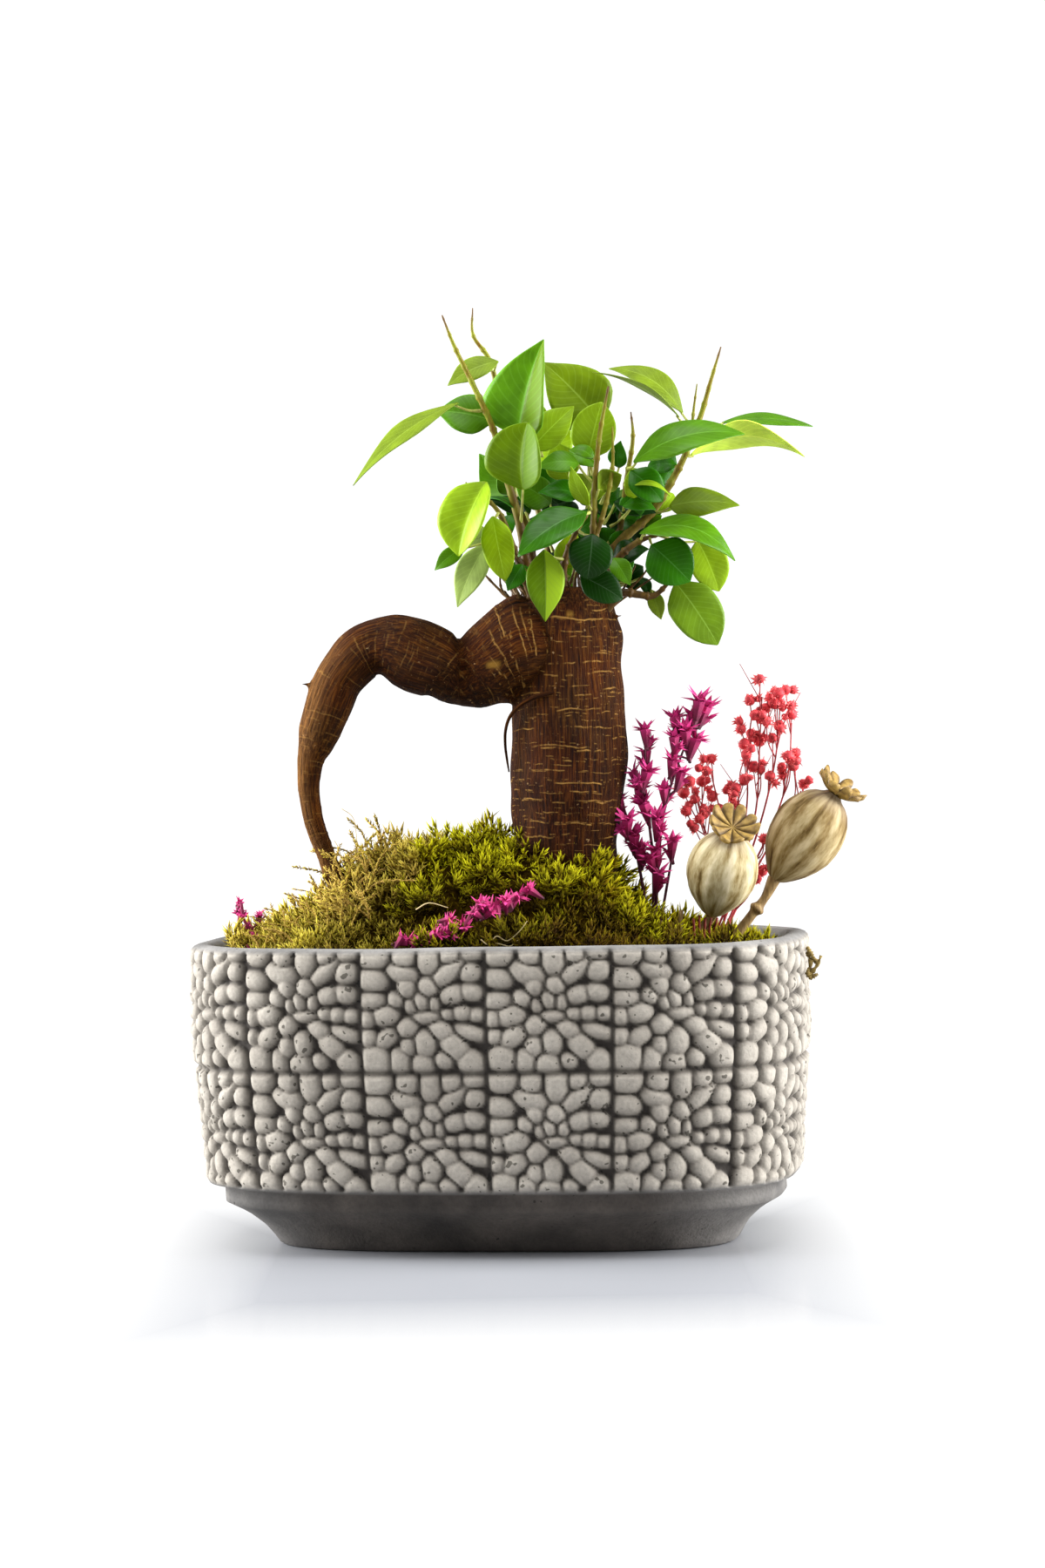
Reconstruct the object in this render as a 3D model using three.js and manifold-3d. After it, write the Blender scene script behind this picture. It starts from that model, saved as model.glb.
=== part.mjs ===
// A small grafted ficus in an oblong concrete pot, with moss and dried flowers round its foot.
// Millimetres, +Z up. The origin is the middle of the pot's flat underside, and -Y is the front.
import * as THREE from "three";
import { mergeVertices } from "three/addons/utils/BufferGeometryUtils.js";
import Module from "manifold-3d";

// Driving dimensions
const potHalfLength = 98.8;
const potHalfDepth = 62;
const potHeight = 96.8;
const potSquareness = 3.2;
const potWall = 8;
const potFloor = 10;
const potSegments = 48;
const bandBottom = 20.9;
const bandTaper = 0.965;
const footHalfLength = 74.1;
const footShift = 1.2;
const ledgeHalfLength = 89.5;
const ledgeHeight = 14.5;
const soilBelowMoss = 8;
const mossEdge = 88.4;
const mossEdgeHeight = 92;
const mossRise = 38;
const leftHummock = { x: -43, y: -9, rise: 6, reach: 13 };
const clumpSplit = -30;
const clumpLean = 0.25;
const moundRings = 7;
const moundSegments = 32;
const gap = 0.4;
const plantTurn = THREE.MathUtils.degToRad(9);

const wasm = await Module();
wasm.setup();

// Solids: a closed geometry becomes a solid, solids are joined and cut, and a solid becomes a geometry again
function mergedGeometry(geometry) {
  const bare = geometry.clone();
  bare.deleteAttribute("normal");
  bare.deleteAttribute("uv");
  return mergeVertices(bare, 1e-3);
}

function solidOf(geometry) {
  const merged = mergedGeometry(geometry);
  const triVerts = new Uint32Array(merged.index.array);
  const vertProperties = new Float32Array(merged.attributes.position.array);
  return new wasm.Manifold(new wasm.Mesh({ numProp: 3, vertProperties, triVerts }));
}

function geometryOf(solid) {
  const mesh = solid.getMesh();
  const geometry = new THREE.BufferGeometry();
  geometry.setAttribute("position", new THREE.BufferAttribute(mesh.vertProperties, 3));
  geometry.setIndex(new THREE.BufferAttribute(mesh.triVerts, 1));
  return geometry;
}

function largestBody(solid) {
  return solid.decompose().reduce((a, b) => (a.volume() > b.volume() ? a : b));
}

function join(geometries) {
  return geometryOf(geometries.map(solidOf).reduce((a, b) => a.add(b)));
}

function cut(geometry, tools) {
  const rest = tools.flat().map(solidOf).reduce((a, b) => a.subtract(b), solidOf(geometry));
  return geometryOf(largestBody(rest));
}

// The same shape with its surface moved out by a distance: the tool that cuts a loose socket for it
function grown(geometry, distance) {
  const merged = mergedGeometry(geometry);
  merged.computeVertexNormals();
  const { position, normal } = merged.attributes;
  for (let i = 0; i < position.count; i += 1) {
    position.setXYZ(
      i,
      position.getX(i) + normal.getX(i) * distance,
      position.getY(i) + normal.getY(i) * distance,
      position.getZ(i) + normal.getZ(i) * distance,
    );
  }
  return merged;
}

function turnedWithPlant(geometry) {
  return geometry.clone().rotateZ(plantTurn);
}

// Moves every vertex of a geometry to where the given function says
function bent(geometry, place) {
  const position = geometry.attributes.position;
  const point = new THREE.Vector3();
  for (let i = 0; i < position.count; i += 1) {
    point.fromBufferAttribute(position, i);
    position.setXYZ(i, ...place(point.x, point.y, point.z));
  }
  return geometry;
}

// A round limb that tapers: a closed cylinder laid along a smooth curve, with a radius for each point
function limb(points, radii, sides = 6, steps = 10) {
  const curve = new THREE.CatmullRomCurve3(points.map((p) => new THREE.Vector3(...p)));
  const frames = curve.computeFrenetFrames(steps, false);
  const offset = new THREE.Vector3();
  return bent(new THREE.CylinderGeometry(1, 1, 1, sides, steps), (x, y, z) => {
    const share = y + 0.5;
    const along = curve.getUtoTmapping(share) * (radii.length - 1);
    const before = Math.min(Math.floor(along), radii.length - 2);
    const radius = THREE.MathUtils.lerp(radii[before], radii[before + 1], along - before);
    const step = Math.round(share * steps);
    offset.copy(frames.binormals[step]).multiplyScalar(x * radius);
    offset.addScaledVector(frames.normals[step], z * radius);
    return curve.getPointAt(share).add(offset).toArray();
  });
}

// The pot's plan is a rounded oblong: a point of a round plan goes to the same angle on it
function ovalPlan(x, y) {
  const radius = Math.hypot(x, y);
  if (radius < 1e-6) return [0, 0];
  const halfDepth = Math.max(radius - (potHalfLength - potHalfDepth), radius * 0.2);
  const bend = (share) => Math.sign(share) * Math.abs(share) ** (2 / potSquareness);
  return [radius * bend(x / radius), halfDepth * bend(y / radius)];
}

function latheUp(profile, segments) {
  const points = profile.map(([radius, height]) => new THREE.Vector2(radius, height));
  return new THREE.LatheGeometry(points, segments).rotateX(Math.PI / 2);
}

// Pot
function potGeometry() {
  const innerTop = potHalfLength - potWall;
  const profile = [
    [0, 0],
    [footHalfLength, 0],
    [footHalfLength + 2.6, 4.5],
    [footHalfLength + 6.4, 8.5],
    [footHalfLength + 11, 12],
    [ledgeHalfLength, ledgeHeight],
    [ledgeHalfLength, bandBottom - 1.2],
    [potHalfLength * bandTaper - 1.2, bandBottom],
    [potHalfLength * bandTaper, bandBottom + 2],
    [potHalfLength, 68],
    [potHalfLength - 0.3, potHeight - 5],
    [potHalfLength - 2.6, potHeight - 0.6],
    [potHalfLength - 4.2, potHeight],
    [innerTop + 1.2, potHeight - 0.4],
    [innerTop, potHeight - 3],
    [ledgeHalfLength - potWall, bandBottom + 4],
    [footHalfLength, potFloor],
    [0, potFloor],
  ];
  return bent(latheUp(profile, potSegments), (x, y, z) => {
    const [planX, planY] = ovalPlan(x, y);
    const lean = footShift * Math.max(0, 1 - z / bandBottom);
    return [planX + lean, planY, z];
  });
}

// Moss and soil: blankets inside the pot, whose heights follow one mound with a hummock on its left
function mossTop(x, y) {
  const reach = x < 4 ? 70 : 46;
  const away = Math.abs((x - 4) / reach) ** 3 + Math.abs((y - 3) / 39) ** 3;
  const aside = Math.hypot(x - leftHummock.x, y - leftHummock.y) / leftHummock.reach;
  return mossEdgeHeight + mossRise * Math.exp(-away) + leftHummock.rise * Math.exp(-(aside ** 2));
}

function soilTop(x, y) {
  return mossTop(x, y) - soilBelowMoss;
}

// A layer inside the pot: each row of its profile has a half length, and a height that may follow the mound
function layer(rows) {
  const profile = rows.map(([half], row) => [half, row]);
  return bent(latheUp(profile, moundSegments), (x, y, z) => {
    const [planX, planY] = ovalPlan(x, y);
    const height = rows[Math.round(z)][1];
    return [planX, planY, height(planX, planY)];
  });
}

function moundRows(height) {
  return Array.from({ length: moundRings + 1 }, (_, ring) => [mossEdge * (1 - ring / moundRings), height]);
}

function soilGeometry() {
  const floor = () => potFloor + gap;
  const corner = () => bandBottom + 4;
  const sides = [[0, floor], [footHalfLength - 1, floor], [ledgeHalfLength - potWall - 1, corner]];
  return layer([...sides, ...moundRows(soilTop)]);
}

function mossGeometry() {
  const bed = (x, y) => soilTop(x, y) + gap;
  const low = () => mossEdgeHeight - 4 * soilBelowMoss;
  const beyond = mossEdge + 3;
  const under = layer([[0, low], [beyond, low], [beyond, bed], ...moundRows(bed)]);
  return cut(layer([[0, () => low() + 1], [mossEdge, () => low() + 1], ...moundRows(mossTop)]), [under]);
}

// Trunk and arched root: one grown piece
const trunkPoints = [[22, 0, 48], [22, 0, 80], [22, 0, 105], [22, 0, 127], [22.9, 0, 147], [23.3, 0, 162],
  [23, 0, 178], [23, 0, 193], [23, 0, 203], [23, 0, 208.5]];
const trunkRadii = [6, 13, 16.5, 16.6, 18.9, 18.6, 17.7, 17.4, 15.5, 11.5];
const archPoints = [[22, -1, 190], [7, -2.5, 189.5], [-3.3, -3, 184.3], [-10, -3, 181.8], [-17.3, -3, 185.2],
  [-25.5, -3, 188], [-32, -3, 190.3], [-38, -3, 190.5], [-43, -3, 188.5], [-46.5, -3, 185], [-50.4, -3, 180],
  [-53.5, -2.5, 173], [-56.8, -2, 164], [-58.2, -2, 159.8], [-59.7, -2, 156], [-60.6, -2, 148.5],
  [-60.4, -2, 142], [-59.6, -2, 136], [-58.1, -2, 131], [-56.3, -2, 126], [-53.8, -2, 118], [-49, -2, 104],
  [-45, -2, 88]];
const archRadii = [14, 16.3, 13.8, 11, 12.4, 12.6, 11, 9, 8.4, 8.2, 8, 7.6, 7, 5.7, 4.5, 3.8, 3.4, 3.4, 3.2,
  3.1, 3.1, 2.8, 1.4];

// Small stubs on it: a broken twig, a side rootlet and a thorn
const stubs = [
  [[[-52, -4, 176], [-58, -4.5, 178.5], [-62.3, -5, 179.2]], [1.6, 1.2, 0.7]],
  [[[-56, -3, 124], [-52.5, -4, 121], [-50.2, -4.5, 117.5]], [1.4, 1.6, 1.2]],
  [[[35, -4, 197.5], [39, -5, 198.5], [41.8, -5.5, 199.5]], [1.2, 0.9, 0.3]],
];

const trunkPieces = [limb(trunkPoints, trunkRadii, 14, 12), limb(archPoints, archRadii, 10, 30),
  ...stubs.map(([points, radii]) => limb(points, radii, 5, 2))];

const hairRootPoints = [[21.5, -16.6, 175], [14.5, -17, 174], [8.5, -14.5, 171.5], [4.5, -11, 167.5],
  [2.9, -8.5, 163], [2.7, -7, 158], [3.1, -6.5, 154], [3.7, -6.5, 149.6]];

// Leaf: a thin blade folded on its midrib, with its stalk. The box's length runs from the foot of the stalk
// through the blade's base to its tip.
const leafWidths = [0.1, 0.78, 1, 0.86, 0.5, 0.03];
const leafThickness = 0.5;
const stalkHalfWidth = 0.5;

function leafGeometry({ from, base, tip, width, face, fold = 15, arch = 2 }) {
  const start = new THREE.Vector3(...base);
  const blade = new THREE.Vector3(...tip).sub(start);
  const faceUp = new THREE.Vector3(...face).projectOnPlane(blade.clone().normalize()).normalize();
  const sideways = faceUp.clone().cross(blade).normalize();
  const midrib = leafWidths.map((_, i) => {
    const share = i / (leafWidths.length - 1);
    const rise = arch * 4 * share * (1 - share);
    return start.clone().addScaledVector(blade, share).addScaledVector(faceUp, rise);
  });
  const line = [new THREE.Vector3(...from), ...midrib];
  const halves = [stalkHalfWidth, stalkHalfWidth, ...leafWidths.slice(1).map((share) => share * width)];
  const lift = THREE.MathUtils.degToRad(fold);
  const sections = line.map((centre, i) => {
    const along = line[Math.min(i + 1, line.length - 1)].clone().sub(line[Math.max(i - 1, 0)]).normalize();
    const side = sideways.clone().projectOnPlane(along).normalize();
    return { centre, side, up: along.clone().cross(side), half: halves[i], lift: i > 1 ? lift : 0 };
  });
  return bent(new THREE.BoxGeometry(2, 1, 1, 2, 1, leafWidths.length), (x, y, z) => {
    const section = sections[Math.round((z + 0.5) * leafWidths.length)];
    const across = x * section.half * Math.cos(section.lift);
    const rise = Math.abs(x) * section.half * Math.sin(section.lift) + y * leafThickness;
    const point = section.centre.clone().addScaledVector(section.side, across);
    return point.addScaledVector(section.up, rise).toArray();
  });
}

// Shoots: each has one or more stems, and the smallest leaves are joined to it
const shoots = {
  shoot_tall_left: {
    stems: [[[[12, -3, 203], [9, -6, 228], [4, -8, 247], [1, -8.5, 259], [-5, -9, 273], [-11, -9, 286],
      [-14.6, -9, 295.7]], [2.2, 1.8, 1.5, 1.3, 1.1, 0.8, 0.3]]],
    small: [
      { from: [9, -6, 228], base: [9.5, -5.5, 232], tip: [-2, -4, 237.5], width: 3, face: [0, -0.3, 1] },
    ],
  },
  shoot_back_left: {
    stems: [[[[15, 5, 203], [9, 8, 240], [4, 10, 265], [0, 10, 283], [-5, 10, 291], [-5, 10, 299.7]],
      [2.2, 1.6, 1.3, 1, 0.7, 0.25]]],
    small: [],
  },
  shoot_centre_twin: {
    stems: [
      [[[29, -5, 203], [32, -8, 222], [33, -9, 241], [35, -9, 257], [38, -8, 272]], [2, 1.6, 1.2, 1, 0.4]],
      [[[32, -8, 222], [36, -9.5, 233], [38.7, -10, 246], [39, -10, 259]], [1.2, 1, 0.8, 0.3]]],
    small: [
      { from: [34, -9, 250], base: [33, -6, 249], tip: [25, -4, 252], width: 3, face: [0, -0.7, 0.7] },
      { from: [32.6, -8.5, 232], base: [31, -11, 234], tip: [25.5, -12, 246.5], width: 3,
        face: [-0.5, -0.8, 0] },
    ],
  },
  shoot_tall_right: {
    stems: [[[[33, 1, 203], [39, 2, 220.5], [51, 3, 231.7], [58, 2, 242], [62.5, 1, 250.3], [67.8, 0, 263],
      [71.4, 0, 274.7], [74.6, 0, 284.6]], [2.4, 2, 1.7, 1.5, 1.3, 1.1, 0.8, 0.3]],
      [[[64.5, 0.5, 255], [65.2, -1, 263], [66.6, -1.5, 272.8]], [0.8, 0.6, 0.25]]],
    small: [
      { from: [62, 1.1, 249], base: [60, 5, 247], tip: [50, 7, 246], width: 4, face: [0, -0.8, 0.6] },
    ],
  },
  shoot_right_inner: {
    stems: [[[[33, 9, 203], [40, 8, 222], [43.5, -1, 243], [45.6, -5, 256], [45.1, -5, 264]],
      [1.8, 1.4, 1.1, 0.8, 0.25]]],
    small: [
      { from: [42, 4.4, 232], base: [42, -2, 234], tip: [52.5, -4, 232.5], width: 3.6, face: [0, -0.7, 0.7] },
    ],
  },
  shoot_left_low: {
    stems: [[[[13, -7, 203], [7, -10, 220], [2, -11, 232.8], [-8.2, -12, 242.2]], [1.8, 1.4, 1, 0.25]]],
    small: [
      { from: [4, -10.6, 227], base: [-9, -9, 221.5], tip: [-18.6, -9, 214.5], width: 3,
        face: [-0.2, -1, 0.2] },
      { from: [4.5, -10.5, 226], base: [-1.5, -6, 227], tip: [-9.5, -5, 224], width: 3,
        face: [0, -0.9, 0.5] },
      { from: [10, -8.6, 212], base: [9.4, -15, 215.5], tip: [4.5, -16, 207.3], width: 3.5,
        face: [0, -1, 0.1] },
    ],
  },
  shoot_right_low: {
    stems: [[[[35.2, -3, 203], [40, -9, 217], [47, -10, 222.5], [54, -10, 224.5]], [1.8, 1.5, 1.2, 0.5]]],
    small: [
      { from: [40, -9, 217], base: [38.4, -12.5, 217], tip: [43.5, -14, 208.3], width: 3.5,
        face: [0, -1, 0.1] },
    ],
  },
  shoot_right_knobby: {
    stems: [[[[34, -6, 198], [41, -8, 206], [46, -8, 205.5], [51, -8, 205], [57, -8, 210]],
      [1.8, 1.6, 1.6, 1.3, 0.6]]],
    small: [],
  },
  shoot_front_low: {
    stems: [[[[22, -8, 203], [23, -13, 217], [27, -15, 226], [31, -15, 232]], [1.8, 1.4, 1.1, 0.5]]],
    small: [],
  },
  shoot_back_right: {
    stems: [[[[28, 8, 203], [31, 13, 225], [32, 14, 245], [32, 13, 262], [30, 12, 268]],
      [2, 1.6, 1.2, 1, 0.4]]],
    small: [],
  },
  shoot_back_middle: {
    stems: [[[[19, 9, 203], [18, 16, 222], [14, 20, 238], [12, 21, 250]], [2, 1.6, 1.2, 0.4]]],
    small: [],
  },
};

function shootPieces({ stems, small }) {
  return [...stems.map(([points, radii]) => limb(points, radii, 6, 2 * points.length - 2)),
    ...small.map(leafGeometry)];
}

// The larger leaves, each its own piece: the foot of the stalk on its shoot, the blade's base and tip, the
// half width, and the way the upper side faces
const leaves = [
  { from: [-2.5, -8.7, 265], base: [-10, -11, 267.5], tip: [-43.8, -16, 241.6],
    width: 6.5, face: [-0.35, -0.5, 0.8], arch: 3.5 },
  { from: [1.6, -8.4, 257], base: [1, -3, 262], tip: [-17, -2, 265.5],
    width: 7.5, face: [0.1, -0.9, 0.4] },
  { from: [1.2, 10, 279], base: [3, 7.5, 282], tip: [-13.5, 6, 274.5],
    width: 5, face: [-0.2, -0.8, 0.55] },
  { from: [3.3, -8.2, 250], base: [8.9, -4, 257], tip: [17.7, -8, 287.4],
    width: 14, face: [-0.58, -0.8, 0.1], fold: 34 },
  { from: [32, 13, 260], base: [36, 10, 261.5], tip: [17.5, 9, 281.5],
    width: 11.5, face: [0.1, -0.9, 0.35] },
  { from: [5.5, -7.2, 240], base: [12, -3, 252], tip: [27, 0, 266.5],
    width: 6, face: [0.2, -0.9, 0.35] },
  { from: [32, 14, 245], base: [31, 6, 250], tip: [36, 4, 268],
    width: 7.5, face: [0, -1, 0.2] },
  { from: [66, 0.2, 259], base: [62, 4, 264], tip: [38.7, 8, 279],
    width: 6, face: [-0.3, -0.45, 0.85], arch: 5 },
  { from: [65.6, 0.2, 257.5], base: [60.5, -5, 262], tip: [33.1, -8, 276.6],
    width: 4, face: [-0.4, 0, 0.9], arch: 3 },
  { from: [44, -3.7, 246], base: [45.5, -11, 247.5], tip: [80.8, -13, 255.5],
    width: 9, face: [0, -0.62, 0.78], arch: 5 },
  { from: [62.5, 1, 250.3], base: [64, 4, 250], tip: [101, 3, 249],
    width: 8, face: [0, 0.5, 0.86], arch: 8 },
  { from: [66.4, 0.3, 260], base: [75, 10, 261], tip: [104.5, 12, 259.3],
    width: 6, face: [0, -0.15, 0.98] },
  { from: [51.5, 3, 232], base: [56.9, -2, 233.6], tip: [79.3, -4, 233.4],
    width: 7, face: [0, -0.7, 0.7] },
  { from: [47, -10, 222.5], base: [47, -12, 224.8], tip: [76.9, -15, 215.3],
    width: 7.5, face: [0.15, -0.6, 0.78], arch: 7.5 },
  { from: [53, -10, 224.3], base: [65.5, -6, 222.5], tip: [72, -7, 206],
    width: 6.5, face: [0.1, -0.95, 0.2] },
  { from: [50, -10, 223.6], base: [50.5, -13, 221], tip: [62.5, -15, 209],
    width: 8, face: [0, -1, 0.1] },
  { from: [56, -8, 209], base: [58, -9.5, 209], tip: [71, -12, 188.8],
    width: 8.5, face: [0.1, -0.95, 0.3] },
  { from: [51, -8, 205], base: [50.5, -3.5, 207], tip: [53.5, -3, 197.5],
    width: 4, face: [0, -1, 0.1] },
  { from: [31, -15, 231.6], base: [30, -17.5, 231.5], tip: [8, -25, 217.6],
    width: 8.5, face: [-0.25, -0.72, 0.65], arch: 3 },
  { from: [23, -13, 217], base: [16.4, -18, 220], tip: [16.2, -21, 197.2],
    width: 6.4, face: [0.1, -1, 0.1] },
  { from: [27, -15, 226], base: [31.7, -19.5, 224.5], tip: [29.7, -22, 210],
    width: 7.2, face: [0.1, -1, 0] },
  { from: [30.6, -6.5, 212], base: [27.8, -16, 211.5], tip: [40.8, -16.5, 203.8],
    width: 5.4, face: [0, -0.95, 0.2] },
  { from: [-1.5, -11.4, 236.5], base: [-1.5, -14, 242], tip: [-10.8, -16, 218.6],
    width: 11.4, face: [-0.6, -0.78, 0.2], fold: 34 },
  { from: [5.5, -10.4, 224], base: [-1.5, -8, 223], tip: [-11.6, -9, 202.6],
    width: 5.5, face: [-0.3, -0.9, 0.3] },
  { from: [2.2, -11, 232.4], base: [0.2, -15, 231], tip: [3.9, -18, 210.4],
    width: 5.2, face: [-0.1, -1, 0.1] },
  { from: [9, -6, 228], base: [10, -12, 239.5], tip: [12, -16, 260.6],
    width: 13.2, face: [-0.55, -0.8, 0.2], fold: 34 },
  { from: [33, -9, 241], base: [28, -9, 247.5], tip: [14.5, -8.5, 246.5],
    width: 4.5, face: [0, -0.8, 0.6] },
  { from: [32.6, -8.5, 235], base: [28, -9, 237.5], tip: [15, -9, 238.5],
    width: 4.5, face: [0, -0.8, 0.6] },
  { from: [43, -2, 242], base: [44.5, -6, 245], tip: [54.5, -7, 235],
    width: 5.5, face: [0.2, -0.95, 0.2] },
  { from: [14, 20, 238], base: [11, 23, 239], tip: [-4, 31, 254],
    width: 8, face: [-0.5, 0.8, 0.1], arch: 3 },
  { from: [12.3, 20.8, 247], base: [14, 24, 250], tip: [24, 33, 268],
    width: 9, face: [0, 0.9, -0.3] },
  { from: [32, 14, 237], base: [35, 18, 237], tip: [54, 30, 228],
    width: 9, face: [0.2, 0.6, 0.75], arch: 4 },
  { from: [30.7, 12.5, 220], base: [33, 17, 222], tip: [40, 28, 207],
    width: 8, face: [0.1, 0.9, 0.4] },
  { from: [18.4, 14.5, 217], base: [19, 19, 220], tip: [21, 28, 203],
    width: 7, face: [-0.1, 0.9, 0.4] },
];

// Dried poppies: a ribbed capsule with a scalloped crown, on a stem
const capsuleProfile = [[0, 0], [1.6, 0.2], [5.5, 3], [9.6, 8], [11.4, 14], [10.6, 19.5], [7.6, 24], [4, 26],
  [0, 26.4]];
const crownProfile = [[0, 25], [3, 25], [6.4, 27], [8, 28.8], [8, 29.6], [5, 28.6], [0, 28.2]];
const crownRays = 10;

function poppyHead({ foot, lean, turn, wide, long }) {
  const capsule = latheUp(capsuleProfile, 14);
  const crown = bent(latheUp(crownProfile, 2 * crownRays), (x, y, z) => {
    const ray = 0.9 + 0.1 * Math.cos(crownRays * Math.atan2(y, x));
    return [x * ray, y * ray, z];
  });
  return join([capsule, crown]).scale(wide, wide, long).rotateY(lean).rotateX(turn).translate(...foot);
}

const poppies = [
  { foot: [67.2, -14, 102.5], lean: 0.23, turn: 0.25, wide: 1, long: 1.06, stemRadius: 1.2,
    stem: [[61, -14, 78], [61.3, -14, 92], [63, -14, 97], [66.9, -14, 102]] },
  { foot: [88, -2, 113], lean: 0.63, turn: 0.05, wide: 1.04, long: 1.25, stemRadius: 1.5,
    stem: [[70, -3, 76], [75.7, -2, 95], [80, -2, 101], [85, -2, 107.3], [88.3, -2, 113.6]] },
];

// Dried sprigs: thin stems that meet at a foot, with a floret at the end of each twig
function sprigPieces({ foot, branches, floret, thick }) {
  return branches.flatMap(({ stem, heads }) => {
    const points = [foot, ...stem];
    const radii = points.map((_, i) => thick * (1 - 0.5 * (i / points.length)));
    const path = new THREE.CatmullRomCurve3(points.map((p) => new THREE.Vector3(...p)));
    return [limb(points, radii, 4, 2 * points.length), ...heads.flatMap(([share, x, y, z]) => {
      const leave = path.getPoint(share).toArray();
      const head = new THREE.OctahedronGeometry(floret).translate(x, y, z);
      return [limb([leave, [x, y, z]], [thick * 0.5, thick * 0.5], 4, 1), head];
    })];
  });
}

const magentaSprig = {
  foot: [49, -2, 88], floret: 2.4, thick: 0.8,
  branches: [
    { stem: [[47.5, -5, 112], [45.5, -8, 128], [44.5, -10, 140], [46, -8, 152], [48, -6, 162]],
      heads: [[0.45, 41, -12, 134], [0.6, 38, -16, 140.5], [0.7, 43, -11, 149], [0.85, 50, -6, 154],
        [0.99, 48, -5, 164]] },
    { stem: [[52, -4, 112], [50.5, -3, 126], [55, -3, 140], [60, -3, 152], [64, -3, 164]],
      heads: [[0.3, 46, -3, 122], [0.45, 56, -3, 126], [0.6, 51, -3, 136], [0.75, 56, -3, 153],
        [0.85, 66, -3, 158], [0.9, 58, -3, 165], [0.99, 67, -3, 172]] },
  ],
};

const coralSprig = {
  foot: [67, 2, 84], floret: 2.6, thick: 0.6,
  branches: [
    { stem: [[66, 4, 104], [64, 6, 122], [62, 6, 138]],
      heads: [[0.6, 57, 6, 130], [0.8, 67, 6, 134], [0.99, 61, 6, 142], [0.5, 61, 6, 118]] },
    { stem: [[72, 5, 108], [78, 8, 130], [84, 10, 152], [86, 10, 172]],
      heads: [[0.6, 76, 9, 148], [0.7, 88, 10, 146], [0.8, 80, 10, 158], [0.85, 91, 10, 160],
        [0.92, 81, 10, 170], [0.99, 86, 10, 177], [0.95, 93, 10, 168]] },
    { stem: [[76, 7, 106], [86, 12, 124], [93, 14, 142], [96, 13, 158]],
      heads: [[0.5, 84, 10, 138], [0.75, 98, 15, 145], [0.8, 90, 12, 150], [0.99, 97, 12, 164],
        [0.55, 86, 15, 127]] },
  ],
};

const fallenSprig = {
  foot: [-27.5, -42, 88], floret: 2.2, thick: 0.7,
  branches: [
    { stem: [[-27, -43.5, 97], [-22, -43, 101.5], [-12, -40.5, 105.5], [-4, -37, 109.5], [8, -33.5, 114]],
      heads: [[0.2, -30.5, -45, 102], [0.35, -27, -45, 105], [0.5, -17, -42, 102], [0.7, -7, -39, 110.5],
        [0.99, 9.5, -33, 116]] },
  ],
};

const pinkSprig = {
  foot: [-77, -3, 86], floret: 1.8, thick: 0.6,
  branches: [
    { stem: [[-78.5, -5, 95], [-81, -6, 100], [-82.5, -6, 108]],
      heads: [[0.72, -75.5, -5, 105], [0.75, -79, -5, 104.5], [0.85, -84, -6, 105], [0.99, -82.5, -6, 109]] },
  ],
};

// Moss crumb: a dry curl that clings to the outside of the pot
const crumbPoints = [[99.2, -8, 91], [100.4, -9, 88], [100, -9, 84.5], [102.2, -10, 86.5], [103.8, -10, 90]];

function add(parent, name, geometry, colour, roughness) {
  geometry.computeVertexNormals();
  const material = new THREE.MeshStandardMaterial({ color: colour, roughness, metalness: 0 });
  const mesh = new THREE.Mesh(geometry, material);
  mesh.name = name;
  parent.add(mesh);
}

const bonsai = new THREE.Group();
const plant = new THREE.Group();
plant.rotation.z = plantTurn;
bonsai.add(plant);

// A piece that stands in another cuts a loose socket in it
const sockets = (pieces) => pieces.map((piece) => grown(piece, gap));
const shootParts = Object.entries(shoots).map(([name, shoot]) => [name, shootPieces(shoot)]);
const shootSockets = shootParts.flatMap(([, pieces]) => sockets(pieces));
const hairRoot = limb(hairRootPoints, hairRootPoints.map(() => 0.5), 5, 14);
const poppyHeads = poppies.map(poppyHead);
const poppyStems = poppies.map(({ stem, stemRadius }) => limb(stem, stem.map(() => stemRadius), 8, 8));
const sprigParts = [
  ["sprig_magenta", sprigPieces(magentaSprig), 0xa8146a],
  ["sprig_coral", sprigPieces(coralSprig), 0xd84a50],
  ["sprig_fallen", sprigPieces(fallenSprig), 0xa8146a],
  ["sprig_pink", sprigPieces(pinkSprig), 0xb8306a],
];
const planted = [...trunkPieces, ...poppyStems, ...sprigParts.flatMap(([, pieces]) => pieces)];
const groundSockets = sockets(planted).map(turnedWithPlant);

// The moss is two clumps, parted by a leaning cut
const wholeMoss = mossGeometry();
const blockSize = 2 * potHalfLength;
function clumpBlock(side, faceX) {
  return new THREE.BoxGeometry(blockSize, blockSize, blockSize).translate((side * blockSize) / 2, 0, 0)
    .rotateY(clumpLean).translate(faceX, 0, potHeight);
}
const leftBlock = clumpBlock(-1, clumpSplit);
const rightBlock = clumpBlock(1, clumpSplit - gap);

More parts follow.
